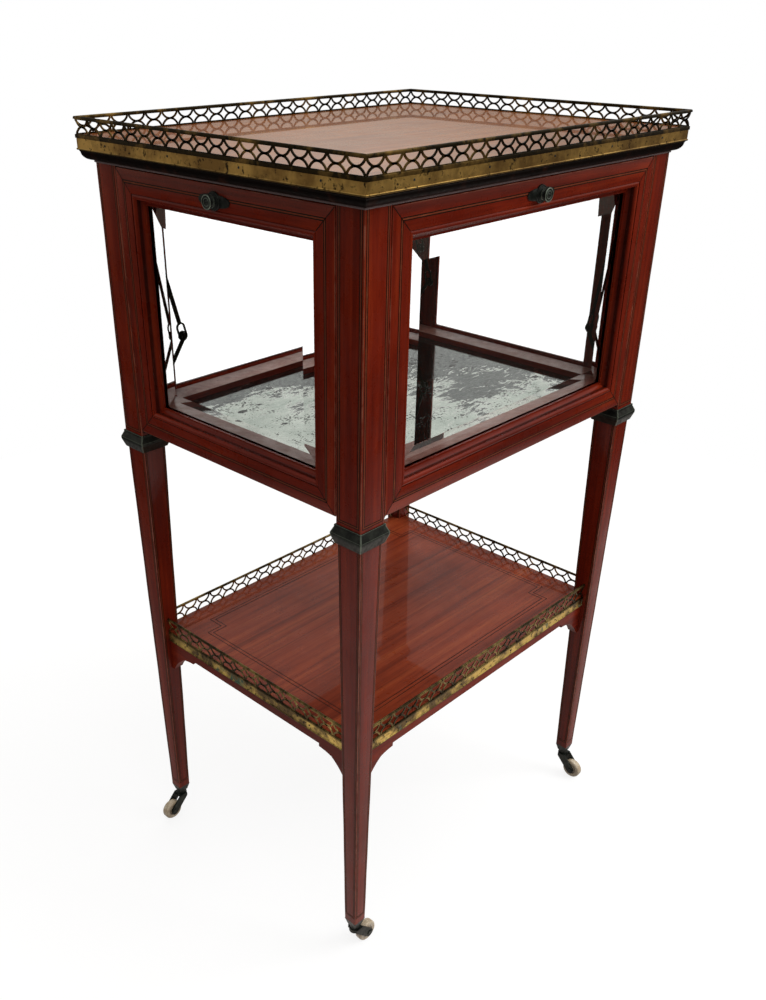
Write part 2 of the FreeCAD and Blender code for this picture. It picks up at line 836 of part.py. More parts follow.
def trimmed_ring(ring, height):
    """Ring sides cut square where they meet the legs."""
    sides = []
    for quarter in range(4):
        end = between_legs(quarter, height)
        limits = ring[quarter].BoundBox
        room = box(-end, end, -cabinet_width, cabinet_width, limits.ZMin - 1, limits.ZMax + 1)
        sides.append(ring[quarter].common(turned(room, quarter)).Solids[0])
    return sides


def apron_rail(quarter):
    end = between_legs(quarter, shelf_bottom)
    face = -shelf_side(quarter) + band_thickness
    return turned(box(-end, end, face, face + apron_thickness, apron_bottom, shelf_bottom), quarter)


def brackets(quarter):
    """A pair of shaped brackets: a stepped end, a long hollow and a quarter hollow down the leg."""
    end = between_legs(quarter, apron_bottom)
    foot = apron_bottom - bracket_drop
    splay = between_legs(quarter, foot) - end
    hollow_end = bracket_length - bracket_hollow_length
    step = (bracket_length, apron_bottom - bracket_step)
    hollow = (hollow_end, apron_bottom - bracket_step - bracket_hollow_drop)
    face = -shelf_side(quarter) + band_thickness
    pieces = []
    for side in (-1, 1):
        piece = prism(
            lambda inward, height: Vector(side * (end - inward), face, height),
            (0, apron_bottom),
            [
                (bracket_length, apron_bottom),
                step,
                bowed(step, hollow, bracket_hollow_rise),
                bowed(hollow, (bracket_foot, foot), bracket_cove_rise),
                (-splay, foot),
            ],
            Vector(0, bracket_thickness, 0),
        )
        pieces.append(turned(piece, quarter))
    return pieces


# Castors


def castor_cup(quarter):
    """Square cup under the leg, tapering to a round neck bored for the spindle."""
    along, out = half_sizes(quarter)
    sections = []
    for size, height in ((cup_neck_size, cup_taper_bottom), (leg_end_size, leg_end_height)):
        half = size / 2
        corners = [(-half, -half), (half, -half), (half, half), (-half, half), (-half, -half)]
        sections.append(Part.makePolygon([Vector(a, b, height) for a, b in corners]))
    neck = rod_z(0, 0, cup_bottom, cup_taper_bottom, cup_neck_size / 2)
    cup = joined(Part.makeLoft(sections, True, True), neck)
    bore_top = cup_bottom + spindle_in_cup + moving_clearance
    cup = cup.cut(rod_z(0, 0, cup_bottom, bore_top, spindle_radius + running_clearance)).Solids[0]
    cup.translate(Vector(-along + post_inset, -out + post_inset, 0))
    return turned(cup, quarter)


def castor_place(shape, quarter):
    """Turn a castor piece to its heading and set it under its leg."""
    along, out = half_sizes(quarter)
    copy = shape.copy()
    copy.rotate(origin, up, castor_headings[quarter] - 90 * quarter)
    copy.translate(Vector(-along + post_inset, -out + post_inset, 0))
    return turned(copy, quarter)


def castor_horn():
    """Spindle, crown and two cheeks that trail back to the axle."""
    crown_bottom = horn_top - crown_depth
    spindle = rod_z(0, 0, horn_top, cup_bottom + spindle_in_cup, spindle_radius)
    crown = rod_z(0, 0, crown_bottom, horn_top, crown_radius)
    bridge = box(-horn_front, crown_radius, -cheek_outside, cheek_outside, crown_bottom, horn_top)
    slope = math.atan2(horn_top - wheel_radius, castor_trail)
    boss_x = axle_boss_radius * math.sin(slope)
    boss_z = axle_boss_radius * math.cos(slope)
    tail_high = (castor_trail + boss_x, wheel_radius + boss_z)
    tail_end = (castor_trail + boss_z, wheel_radius - boss_x)
    tail_low = (castor_trail - boss_x, wheel_radius - boss_z)
    pieces = [spindle, bridge]
    for side in (-1, 1):
        inside = cheek_inside if side > 0 else -cheek_outside
        pieces.append(prism(
            lambda trail, height: Vector(trail, inside, height),
            (-horn_front, horn_top),
            [
                (crown_radius, horn_top),
                tail_high,
                (tail_end, tail_low),
                (-horn_front, crown_bottom),
            ],
            Vector(0, cheek_thickness, 0),
        ))
    hole = rod_y(castor_trail, -cheek_outside, cheek_outside, wheel_radius, axle_radius + running_clearance)
    return joined(crown, *pieces).cut(hole).Solids[0]


def castor_axle():
    """Rivet through the cheeks, with a head on each side."""
    tip = cheek_outside + axle_head_height
    shaft = rod_y(castor_trail, -cheek_outside, cheek_outside, wheel_radius, axle_radius)
    far = rod_y(castor_trail, cheek_outside, tip, wheel_radius, axle_head_radius)
    near = rod_y(castor_trail, -tip, -cheek_outside, wheel_radius, axle_head_radius)
    return joined(shaft, far, near)


def castor_wheel():
    """Rounded porcelain roller bored for its axle."""
    half = wheel_width / 2
    roller = rod_y(castor_trail, -half, half, wheel_radius, wheel_radius)
    rims = [edge for edge in roller.Edges if isinstance(edge.Curve, Part.Circle)]
    roller = roller.makeFillet(wheel_edge_round, rims)
    bore = rod_y(castor_trail, -half, half, wheel_radius, axle_radius + running_clearance)
    return roller.cut(bore).Solids[0]


# Build and write every node

os.makedirs("parts", exist_ok=True)
quarters = range(4)
legs = [leg(quarter) for quarter in quarters]
for name, solid in zip(leg_names, legs):
    save(f"leg_{name}", [solid])
save("leg_collars", [collar(quarter) for quarter in quarters])

top_half_x = half_width + top_overhang
top_half_y = half_depth + top_overhang
board_x = top_half_x - band_thickness
board_y = top_half_y - band_thickness
save("top_board", [box(-board_x, board_x, -board_y, board_y, board_bottom, board_top)])
save("top_edge_moulding", edge_moulding())
save("top_gallery_bands", band_ring(top_half_x, top_half_y, board_bottom, top_band_height))
strip_x = top_half_x - gallery_setback
strip_y = top_half_y - gallery_setback - gallery_thickness
top_strips = gallery_strips(top_half_x, top_half_y, band_top, top_gallery_height, strip_x, strip_y)
save("top_galleries", top_strips + rim_ring(top_half_x, top_half_y, band_top + top_gallery_height))
save("top_door_stops", [door_stop(quarter) for quarter in quarters])

save("cabinet_floor_frame", floor_border_frame())
save("floor_mirror", [mirror_plate()])
save("mirror_backboard", [mirror_backboard()])

save("shelf_board", [shelf_board()])
aprons = [apron_rail(quarter) for quarter in quarters]
for quarter in quarters:
    aprons.extend(brackets(quarter))
save("shelf_aprons", aprons)
shelf_bands = band_ring(shelf_half_x, shelf_half_y, shelf_band_bottom, shelf_band_height)
save("shelf_gallery_bands", trimmed_ring(shelf_bands, shelf_rim_top))
shelf_end_x = between_legs(0, shelf_rim_top)
shelf_end_y = between_legs(1, shelf_rim_top)
shelf_strips = gallery_strips(
    shelf_half_x, shelf_half_y, shelf_band_top, shelf_gallery_height, shelf_end_x, shelf_end_y
)
shelf_rims = trimmed_ring(rim_ring(shelf_half_x, shelf_half_y, shelf_rim_bottom), shelf_rim_top)
save("shelf_galleries", shelf_strips + shelf_rims)
top_pins = band_pins(top_half_x, top_half_y, strip_x, strip_y, board_bottom + top_band_height / 2)
shelf_pin_height = shelf_band_bottom + shelf_band_height / 2
shelf_pins = band_pins(shelf_half_x, shelf_half_y, shelf_end_x, shelf_end_y, shelf_pin_height)
save("gallery_pins", top_pins + shelf_pins)

save("stay_studs", [stay_stud(quarter) for quarter in quarters])
for quarter in quarters:
    side = side_names[quarter]
    save(f"{side}_door_frame", door_frame(quarter))
    save(f"{side}_door_glass", [door_glass(quarter)])
    save(f"{side}_door_beads", glazing_beads(quarter))
    save(f"{side}_door_knob", [knob(quarter)])
    save(f"{side}_door_fittings", door_fittings(quarter))
    save(f"{side}_stay_upper_arm", [upper_stay_arm(quarter)])
    save(f"{side}_stay_lower_arm", [lower_stay_arm(quarter)])

save("castor_cups", [castor_cup(quarter) for quarter in quarters])
for quarter in quarters:
    place = leg_names[quarter]
    save(f"castor_horn_{place}", [castor_place(castor_horn(), quarter)])
    save(f"castor_axle_{place}", [castor_place(castor_axle(), quarter)])
    save(f"castor_wheel_{place}", [castor_place(castor_wheel(), quarter)])
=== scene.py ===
import math
from functools import partialmethod

import bmesh
import bpy
import numpy as np
from mathutils import Euler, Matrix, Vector


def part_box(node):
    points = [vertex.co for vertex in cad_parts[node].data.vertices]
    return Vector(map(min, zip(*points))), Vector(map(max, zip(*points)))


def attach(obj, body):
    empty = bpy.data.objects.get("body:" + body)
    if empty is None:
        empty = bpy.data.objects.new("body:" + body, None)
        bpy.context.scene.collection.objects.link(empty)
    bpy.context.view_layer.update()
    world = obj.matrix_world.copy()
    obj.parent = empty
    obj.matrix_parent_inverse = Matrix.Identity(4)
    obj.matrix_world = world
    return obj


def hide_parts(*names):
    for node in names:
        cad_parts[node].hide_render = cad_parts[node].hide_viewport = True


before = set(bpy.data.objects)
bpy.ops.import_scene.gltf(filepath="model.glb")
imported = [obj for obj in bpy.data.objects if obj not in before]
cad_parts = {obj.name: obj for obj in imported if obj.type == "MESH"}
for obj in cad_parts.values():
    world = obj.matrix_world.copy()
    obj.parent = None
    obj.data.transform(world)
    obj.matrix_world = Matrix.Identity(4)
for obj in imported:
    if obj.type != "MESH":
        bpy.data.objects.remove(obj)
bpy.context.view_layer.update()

# The looks of a mahogany drinks table with a glazed cabinet. Lengths are in metres, and mm is one millimetre.

mm = 0.001
side_names = ("front", "right", "back", "left")
leg_names = ("front_left", "front_right", "back_right", "back_left")

# Places taken from the frame
leg_low, leg_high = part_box("leg_front_left")
half_width = -leg_low.x
half_depth = -leg_low.y
post_size = leg_high.x - leg_low.x
leg_end = leg_low.z
post_top = leg_high.z
collar_low, collar_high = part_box("leg_collars")
cabinet_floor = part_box("cabinet_floor_frame")[1].z
door_low, door_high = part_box("front_door_frame")
door_thickness = door_high.y - door_low.y
door_bottom = door_low.z
door_top = door_high.z
door_middle = (door_bottom + door_top) / 2
door_half_height = (door_top - door_bottom) / 2
front_door_half = door_high.x
side_door_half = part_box("left_door_frame")[1].y
moulding_low, moulding_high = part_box("top_edge_moulding")
top_band_low, top_band_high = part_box("top_gallery_bands")
top_gallery_low, top_gallery_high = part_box("top_galleries")
shelf_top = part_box("shelf_board")[1].z
shelf_band_low, shelf_band_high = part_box("shelf_gallery_bands")
shelf_gallery_low, shelf_gallery_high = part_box("shelf_galleries")
cup_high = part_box("castor_cups")[1]
mirror_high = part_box("floor_mirror")[1]

# Sizes of the wood
leg_axis_x = half_width - post_size / 2
leg_axis_y = half_depth - post_size / 2
leg_end_half = cup_high.x - leg_axis_x
leg_top_half = 14.0 * mm
edge_round = 0.9 * mm
corner_points = 5

# Steps of the grain map: from one piece to the next, so that no two match, and for each radian of a bent piece
side_shift = 0.61
leg_shift, leg_girth_shift = 0.3, 0.4
rail_shift, rail_end_shift = 0.37, 0.11
stile_start, stile_shift, stile_end_shift = 1.0, 0.53, 0.23
arc_map = 10.0 * mm

# Sizes of the inlaid lines
line_width = 0.9 * mm
line_gap = 2.0 * mm
line_proud = 0.06 * mm
line_depth = 0.4 * mm
mitre_width = 0.75 * mm
door_line_inset = 11.0 * mm
post_line_inset = 3.4 * mm
post_line_foot = 4.5 * mm
leg_line_inset = 2.3 * mm
leg_line_foot = 10.0 * mm
leg_line_share = 0.8
shelf_line_x = 182.5 * mm
shelf_line_y = 131.0 * mm
shelf_line_gap = 4.5 * mm
shelf_notch = 20.0 * mm

# Sizes of the door's section, across its width and into its thickness, its rubbed arris points painted pale as a
# highlight and its step points painted dark as shade
door_flat = 20.8 * mm
door_member = 26.0 * mm
door_lip = 31.0 * mm
rebate_start = 23.8 * mm
glass_depth = 11.0 * mm
bead_start, bead_end, bead_rise = 1.0 * mm, 3.0 * mm, 1.7 * mm
hollow_start, hollow_end, hollow_rise = 6.0 * mm, glass_depth - 2.4 * mm, -0.9 * mm
pivot_round = 10.0 * mm
mitre_gap = 0.06 * mm
mitre_line = (0.6 * mm, door_flat - 0.3 * mm)
door_arris = (1, 2)
door_steps = (6, 7, 15, 16)

# Sizes of the brass
band_proud = 0.7 * mm
band_back = -1.2 * mm
band_bead = 1.8 * mm
ledge_height = 3.2 * mm
shelf_ledge_height = 0.6 * ledge_height
gallery_pitch = 19.6 * mm
arch_half_width = 9.0 * mm
arch_wire = 1.8 * mm
strip_thickness = 1.0 * mm
strip_lip = 0.7 * mm
strip_setback = 0.1 * mm
rim_width = 2.8 * mm
rim_height = 2.5 * mm
rim_spring = 0.35 * rim_height


# Meshes


class Surface:
    """Grids of points gathered into one mesh, with a grain map: metres along the wood and metres across it."""

    def __init__(self):
        self.points, self.faces, self.maps, self.marks = [], [], [], []
        self.count = 0

    def grid(self, points, along, across, loop=False, marked=0.0):
        """Quads between neighbouring rows and columns of points, where the last column joins the first.

        A loop joins the last row to the first too, and otherwise both end rows are capped. Along and across give
        the grain map of every row and column, with one more column, and one more row for a loop. Marked is 1
        at a rubbed point, which the wood and the bronze paint pale as a highlight and the porcelain paints dirty,
        and -1 where the wood is painted dark as shade.
        """
        rows, columns = points.shape[:2]
        index = np.arange(rows * columns).reshape(rows, columns) + self.count
        first, last = index[0], index[-1]
        index = np.concatenate([index, index[:, :1]], axis=1)
        if loop:
            index = np.concatenate([index, index[:1]], axis=0)
        grain = np.stack(np.broadcast_arrays(along, across), axis=-1)

        def quads(table):
            return np.stack([table[:-1, :-1], table[:-1, 1:], table[1:, 1:], table[1:, :-1]], axis=2)

        self.faces.extend(quads(index).reshape(-1, 4).tolist())
        self.maps.append(quads(grain).reshape(-1, 2))
        if not loop:
            self.faces.extend([first[::-1].tolist(), last.tolist()])
            self.maps.extend([grain[0, :columns][::-1], grain[rows - 1, :columns]])
        self.points.append(points.reshape(-1, 3))
        self.marks.append(np.broadcast_to(marked, (rows, columns)).ravel())
        self.count += rows * columns


def linked(name, data):
    """A new object in the scene."""
    made = bpy.data.objects.new(name, data)
    bpy.context.scene.collection.objects.link(made)
    return made


def piece(name, body, finish, surface, crease=35.0):
    """Makes a surface a named piece that rides on a body, smooth except over edges sharper than the crease."""
    mesh = bpy.data.meshes.new(name)
    mesh.from_pydata(np.concatenate(surface.points).tolist(), [], surface.faces)
    grain = mesh.uv_layers.new(name="grain")
    grain.data.foreach_set("uv", np.concatenate(surface.maps).ravel())
    shell = bmesh.new()
    shell.from_mesh(mesh)
    bmesh.ops.recalc_face_normals(shell, faces=shell.faces)
    shell.to_mesh(mesh)
    shell.free()
    marks = np.concatenate(surface.marks)
    if marks.any():
        mesh.attributes.new("marked", "FLOAT", "POINT").data.foreach_set("value", marks)
    mesh.shade_smooth()
    mesh.set_sharp_from_angle(angle=math.radians(crease))
    mesh.materials.append(finish)
    made = linked(name, mesh)
    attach(made, body)
    return made


def xyz(x, y, z):
    """Points from their coordinates, each of which may be one value for a whole row or column."""
    return np.stack(np.broadcast_arrays(x, y, z), axis=-1)


def turned(points, quarter):
    """Points of the front side carried round to another side by quarter turns about the upright axis."""
    cosine, sine = ((1, 0), (0, 1), (-1, 0), (0, -1))[quarter]
    x, y, z = np.moveaxis(np.asarray(points), -1, 0)
    return xyz(cosine * x - sine * y, sine * x + cosine * y, z)


def halves(quarter, x, y):
    """Half length along a side and half distance out to it, of a rectangle with half sizes x and y."""
    return (x, y) if quarter % 2 == 0 else (y, x)


def outward(quarter):
    """The direction that a side faces."""
    return turned((0.0, -1.0, 0.0), quarter)


def leg_axis(quarter):
    """The foot of the axis of the leg at a side's left end."""
    along, out = halves(quarter, leg_axis_x, leg_axis_y)
    return turned((-along, -out, 0.0), quarter)


def bow(start, end, rise, count):
    """Points of a circular arc from start to end, whose middle stands off the chord by the rise, on the right."""
    start, end = np.array(start), np.array(end)
    length = np.linalg.norm(end - start)
    tangent = (end - start) / length
    normal = np.array([tangent[1], -tangent[0]])
    radius = (length ** 2 / 4 + rise ** 2) / (2 * rise)
    swing = 2 * math.atan(2 * rise / length) * np.linspace(-1, 1, count)[:, None]
    centre = (start + end) / 2 + normal * (rise - radius)
    return centre + radius * (normal * np.cos(swing) + tangent * np.sin(swing))


def eased(before, corner, after, radius, count=4):
    """A corner rounded off: a parabola between two points at the radius from the corner along its two edges."""
    corner = np.array(corner)
    first, second = (corner + (end - corner) / np.linalg.norm(end - corner) * radius for end in (before, after))
    share = np.linspace(0, 1, count)[:, None]
    return (1 - share) ** 2 * first + 2 * share * (1 - share) * corner + share ** 2 * second


def girth(section):
    """Distance travelled round a closed section at each of its points, and at its first point again."""
    steps = np.linalg.norm(np.roll(section, -1, axis=0) - section, axis=1)
    return np.concatenate([[0.0], np.cumsum(steps)])


def side_length(surface, section, half_along, half_out, quarter, stations=2, centre=(0, 0, 0), mitre=1, marked=0.0):
    """A section of (out, height) carried along one side of a rectangle and mitred at both ends.

    A section point that stands out by w runs from -(half_along + w) to half_along + w. With mitre 0 the ends
    are square.
    """
    out, height = section.T
    share = np.linspace(-1, 1, stations)[:, None]
    points = turned(xyz(share * (half_along + mitre * out), -half_out - out, height), quarter)
    start = side_shift * quarter
    along = share * half_along + half_along + start
    surface.grid(points + centre, along, girth(section) + start, marked=marked)


def ring_of_sides(section, half_x, half_y, stations=2, centre=(0, 0, 0), marked=0.0):
    """Four mitred lengths of one section round a rectangle."""
    surface = Surface()
    for quarter in range(4):
        along, out = halves(quarter, half_x, half_y)
        side_length(surface, section, along, out, quarter, stations, centre, marked=marked)
    return surface


def lathe(surface, profile, base, axis, segments, marked, closed=False):
    """A profile of (radius, height) spun about a level axis through a base point, marked at some of its points.

    A closed profile makes a ring with an open middle.
    """
    first = np.cross(axis, (0.0, 0.0, 1.0))
    second = np.cross(axis, first)
    angle = np.arange(segments + 1) / segments * 2 * math.pi
    spoke = np.cos(angle)[:-1, None] * first + np.sin(angle)[:-1, None] * second
    radius, height = profile.T
    points = np.array(base) + radius[:, None, None] * spoke + height[:, None, None] * axis
    rings = np.isin(np.arange(len(profile)), marked)[:, None]
    along = girth(profile)[:len(profile) + closed, None]
    surface.grid(points, along, angle * radius.max(), loop=closed, marked=rings)


def line_inlay(surface, path, normal, closed=False, width=line_width):
    """A thin strip let into a flat face along a path, mitred at its corners and a hair proud of the wood."""
    path = np.array(path)
    ahead = np.roll(path, -1, axis=0) - path
    ahead /= np.linalg.norm(ahead, axis=1, keepdims=True)
    behind = np.roll(ahead, 1, axis=0)
    if not closed:
        ahead[-1] = behind[-1]
        behind[0] = ahead[0]
    left, right = np.cross(normal, behind), np.cross(normal, ahead)
    across = (left + right) / (1 + np.sum(left * right, axis=1, keepdims=True))
    half = width / 2
    layout = ((-half, line_proud), (half, line_proud), (half, -line_depth), (-half, -line_depth))
    points = np.stack([path + across * a + normal * b for a, b in layout], axis=1)
    along = np.arange(len(path) + closed)[:, None] * arc_map
    surface.grid(points, along, np.arange(5) * width, loop=closed)


# Finishes


class Tree:
    """A tree of shader nodes, with a short method for each kind that the finishes and the stage use."""

    def __init__(self, tree):
        self.tree = tree

    def node(self, kind, inputs, output=0, **settings):
        """Makes a node with its settings and inputs, and gives one of its outputs if it has any."""
        made = self.tree.nodes.new("ShaderNode" + kind)
        for key, value in settings.items():
            setattr(made, key, value)
        for key, value in inputs.items():
            if isinstance(value, bpy.types.NodeSocket):
                self.tree.links.new(value, made.inputs[key])
            else:
                made.inputs[key].default_value = value
        return made.outputs[output] if made.outputs else None

    def place(self, kind="Object"):
        return self.node("TexCoord", {}, kind)

    def axis(self, vector, letter):
        return self.node("SeparateXYZ", {0: vector}, "XYZ".index(letter))

    def vector(self, x, y, z):
        return self.node("CombineXYZ", {0: x, 1: y, 2: z})

    def stretch(self, vector, scale):
        return self.node("VectorMath", {0: vector, 1: scale}, operation="MULTIPLY")

    def dot(self, vector, direction):
        return self.node("VectorMath", {0: vector, 1: direction}, "Value", operation="DOT_PRODUCT")

    def math(self, operation, first, second=0.0):
        return self.node("Math", {0: first, 1: second}, operation=operation)

    plus = partialmethod(math, "ADD")
    minus = partialmethod(math, "SUBTRACT")
    times = partialmethod(math, "MULTIPLY")
    larger = partialmethod(math, "MAXIMUM")
    below = partialmethod(math, "LESS_THAN")

    def noise(self, vector, scale, detail=3.0, rough=0.55):
        return self.node("TexNoise", {"Vector": vector, "Scale": scale, "Detail": detail, "Roughness": rough})

    def cells(self, vector, scale, feature="F1"):
        return self.node("TexVoronoi", {"Vector": vector, "Scale": scale}, "Distance", feature=feature)

    def spread(self, value, low, high, to_low=0.0, to_high=1.0, rule="SMOOTHSTEP"):
        """A value between low and high carried to lie between two others, eased at both ends or straight."""
        inputs = {"Value": value, "From Min": low, "From Max": high, "To Min": to_low, "To Max": to_high}
        return self.node("MapRange", inputs, interpolation_type=rule)

    straight = partialmethod(spread, rule="LINEAR")

    def ramp(self, factor, *stops):
        made = self.node("ValToRGB", {0: factor})
        marks = made.node.color_ramp.elements
        while len(marks) < len(stops):
            marks.new(0.5)
        for mark, (position, colour) in zip(marks, stops):
            mark.position = position
            mark.color = (*colour, 1.0)
        return made

    def mix(self, factor, first, second):
        colours = [(*c, 1.0) if isinstance(c, tuple) else c for c in (first, second)]
        return self.node("Mix", {0: factor, 6: colours[0], 7: colours[1]}, 2, data_type="RGBA")


class Finish(Tree):
    """A material, whose nodes feed a principled shader."""

    def __init__(self, name, sockets):
        self.material = bpy.data.materials.new(name)
        self.material.use_nodes = True
        super().__init__(self.material.node_tree)
        self.shader = self.tree.nodes["Principled BSDF"]
        for socket, value in sockets.items():
            self.shader.inputs[socket].default_value = value

    def feed(self, socket, value):
        self.tree.links.new(value, self.shader.inputs[socket])

    def marked(self):
        return self.node("Attribute", {}, "Fac", attribute_name="marked")

    def bump(self, height, strength, distance):
        self.feed("Normal", self.node("Bump", {"Height": height, "Strength": strength, "Distance": distance}))


def shade(colour, factor):
    """A colour made darker or brighter by a factor."""
    return tuple(part * factor for part in colour)


def grain_map(look):
    """Grain that follows the piece's own map."""
    return look.place("UV")


def grain_along_x(look):
    """Grain along the frame's X axis."""
    return look.place()


def grain_round(letters, first_half, second_half, second_centre=0.0):
    """Grain that runs along each side of a mitred frame, whose half sizes tell the sides apart.

    The letters name the axes along its first and second sides and the axis through its thickness.
    """
    def rule(look):
        place = look.place()
        a, b, c = (look.axis(place, letter) for letter in letters)
        reach_a = look.minus(look.math("ABSOLUTE", a), first_half)
        shifted = look.minus(b, second_centre)
        reach_b = look.minus(look.math("ABSOLUTE", shifted), second_half)
        upright = look.math("GREATER_THAN", reach_a, reach_b)
        lying = look.minus(1.0, upright)
        along = look.plus(look.times(a, lying), look.times(b, upright))
        across = look.plus(look.times(b, lying), look.times(a, upright))
        return look.vector(along, across, c)
    return rule


red = ((0.092, 0.0062, 0.0022), (0.185, 0.0138, 0.0038), (0.295, 0.032, 0.0078))


def mahogany(
    name, grain, colours=red, coat=0.2, gloss=0.08, roughness=(0.22, 0.4), streak=0.35, specular=0.15,
    dust_and_light_above=None, streak_rate=62.0,
):
    """French polished mahogany: a ribbon figure, dark streaks, fine fibre, pores and a polish of uneven gloss.

    Its colours go from dark to light. It is rubbed paler, with a painted highlight, where the piece is marked 1,
    painted dark as shade where it is marked -1, and dusty and painted paler as light above a height if one is given.
    """
    dark, middle, light = colours
    look = Finish(name, {"Coat Weight": coat, "Coat Roughness": gloss, "Specular IOR Level": specular})
    vector = grain(look)
    place = look.place()

    def lengthwise(along, across, detail, rough=0.55):
        return look.noise(look.stretch(vector, (along, across, across)), 1.0, detail, rough)

    figure = lengthwise(2.4, 24, 3.0, 0.5)
    ribbon = lengthwise(5, 120, 4.0)
    fibre = lengthwise(16, 520, 4.0, 0.6)
    pores = look.spread(lengthwise(60, 1700, 1.0), 0.6, 0.7)
    blended = look.plus(look.times(ribbon, 0.45), look.times(figure, 0.35))
    blended = look.plus(blended, look.times(fibre, 0.2))
    colour = look.ramp(blended, (0.36, dark), (0.5, middle), (0.66, light))
    streaks = lengthwise(1.7, streak_rate, 5.0, 0.6)
    colour = look.mix(look.spread(streaks, 0.52, 0.66, 0.0, streak), colour, shade(dark, 0.3))
    colour = look.mix(look.times(pores, 0.45), colour, shade(dark, 0.25))
    stain = look.noise(place, 9.0, 3.0, 0.6)
    colour = look.mix(look.spread(stain, 0.42, 0.72, 0.0, 0.4), colour, shade(dark, 0.6))
    # Points marked 1, the rubbed arrises, are painted pale: a painted highlight over real wear.
    rubbed = look.spread(look.noise(place, 55.0), 0.38, 0.62, 0.2, 0.8)
    edges = look.larger(look.marked(), 0.0)
    colour = look.mix(look.times(edges, rubbed), colour, (0.36, 0.13, 0.08))
    # Points marked -1, the door moulding's steps and the legs' inner faces, are painted dark: painted shade.
    steps = look.larger(look.times(look.marked(), -0.7), 0.0)
    colour = look.mix(steps, colour, (0.008, 0.003, 0.002))
    # Dust above the cabinet floor, made pale enough to stand in for light that does not reach inside: dust and
    # painted light.
    if dust_and_light_above is not None:
        lying = look.spread(look.axis(place, "Z"), dust_and_light_above - 0.5 * mm, dust_and_light_above - 0.2 * mm)
        dust_and_painted_light = look.spread(look.noise(place, 120.0, 4.0, 0.65), 0.3, 0.7, 0.35, 0.75)
        colour = look.mix(look.times(lying, dust_and_painted_light), colour, (0.52, 0.31, 0.25))
    look.feed("Base Color", colour)
    haze = look.noise(place, 40.0, 4.0, 0.6)
    look.feed("Roughness", look.spread(haze, 0.3, 0.7, *roughness))
    look.bump(look.minus(look.times(fibre, 0.5), pores), 0.12, 0.12 * mm)
    return look.material


def ebonised(name, body_colour, worn_colour, specular=0.12):
    """Black-stained wood, rubbed through to brown in patches and slightly dusty."""
    look = Finish(name, {"Specular IOR Level": specular})
    place = look.place()
    rubbed = look.noise(place, 60.0, 5.0, 0.65)
    look.feed("Base Color", look.mix(look.spread(rubbed, 0.52, 0.75, 0.0, 0.8), body_colour, worn_colour))
    look.feed("Roughness", look.spread(look.noise(place, 150.0), 0.3, 0.7, 0.28, 0.5))
    look.bump(look.noise(place, 700.0, 4.0), 0.15, 0.15 * mm)
    return look.material


def brass(name, bright, dull, stain, verdigris, cover, green, gloss=(0.3, 0.5), foot=None, lean=0.0):
    """Old brass: bright where it is rubbed, olive where it has dulled, with dark stains and green patches.

    Gloss is the range of its roughness, and cover and green are the levels of noise between which the dull colour
    and the verdigris set in. Dirt has gathered below the height of the foot, if one is given, and lean makes the
    left side duller.
    """
    look = Finish(name, {"Metallic": 1.0})
    place = look.place()
    dulled = look.noise(place, 26.0, 5.0, 0.65)
    dulled = look.minus(dulled, look.times(look.axis(place, "X"), lean))
    colour = look.ramp(dulled, (cover[0], bright), (cover[1], dull))
    spots = look.noise(place, 210.0, 4.0, 0.65)
    colour = look.mix(look.spread(spots, 0.55, 0.68), colour, stain)
    patch = look.noise(look.stretch(place, (1.0, 1.0, 0.6)), 17.0, 4.0, 0.7)
    greened = look.spread(patch, *green)
    colour = look.mix(greened, colour, verdigris)
    if foot is not None:
        dirt = look.spread(look.axis(place, "Z"), foot - 0.2 * mm, foot + 0.2 * mm, 0.75, 0.0)
        colour = look.mix(dirt, colour, stain)
    look.feed("Base Color", colour)
    look.feed("Metallic", look.minus(1.0, look.times(greened, 0.85)))
    rough = look.spread(spots, 0.35, 0.7, *gloss)
    look.feed("Roughness", look.larger(rough, look.times(greened, 0.75)))
    look.bump(look.noise(place, 420.0, 4.0), 0.2, 0.12 * mm)
    return look.material


def bronze(name, dark, raised):
    """Brown-black bronze with a green cast, rubbed paler on the grain of the casting, and rubbed and painted pale as
    a highlight where it is marked.
    """
    look = Finish(name, {"Metallic": 0.55})
    place = look.place()
    rubbed = look.noise(place, 130.0, 5.0, 0.6)
    colour = look.ramp(rubbed, (0.4, dark), (0.72, raised))
    # Marked points are painted pale: a painted highlight on rubbed bronze.
    look.feed("Base Color", look.mix(look.marked(), colour, shade(raised, 6)))
    look.feed("Roughness", look.spread(look.noise(place, 300.0), 0.3, 0.7, 0.3, 0.55))
    look.bump(look.noise(place, 900.0), 0.25, 0.15 * mm)
    return look.material


def plate_glass(name):
    """Clear polished plate, with the slow waviness of old glass."""
    look = Finish(name, {
        "Base Color": (1.0, 1.0, 1.0, 1.0), "Transmission Weight": 1.0, "IOR": 1.5, "Roughness": 0.0,
    })
    look.bump(look.noise(look.place(), 11.0, 1.0), 0.03, 1.0 * mm)
    return look.material


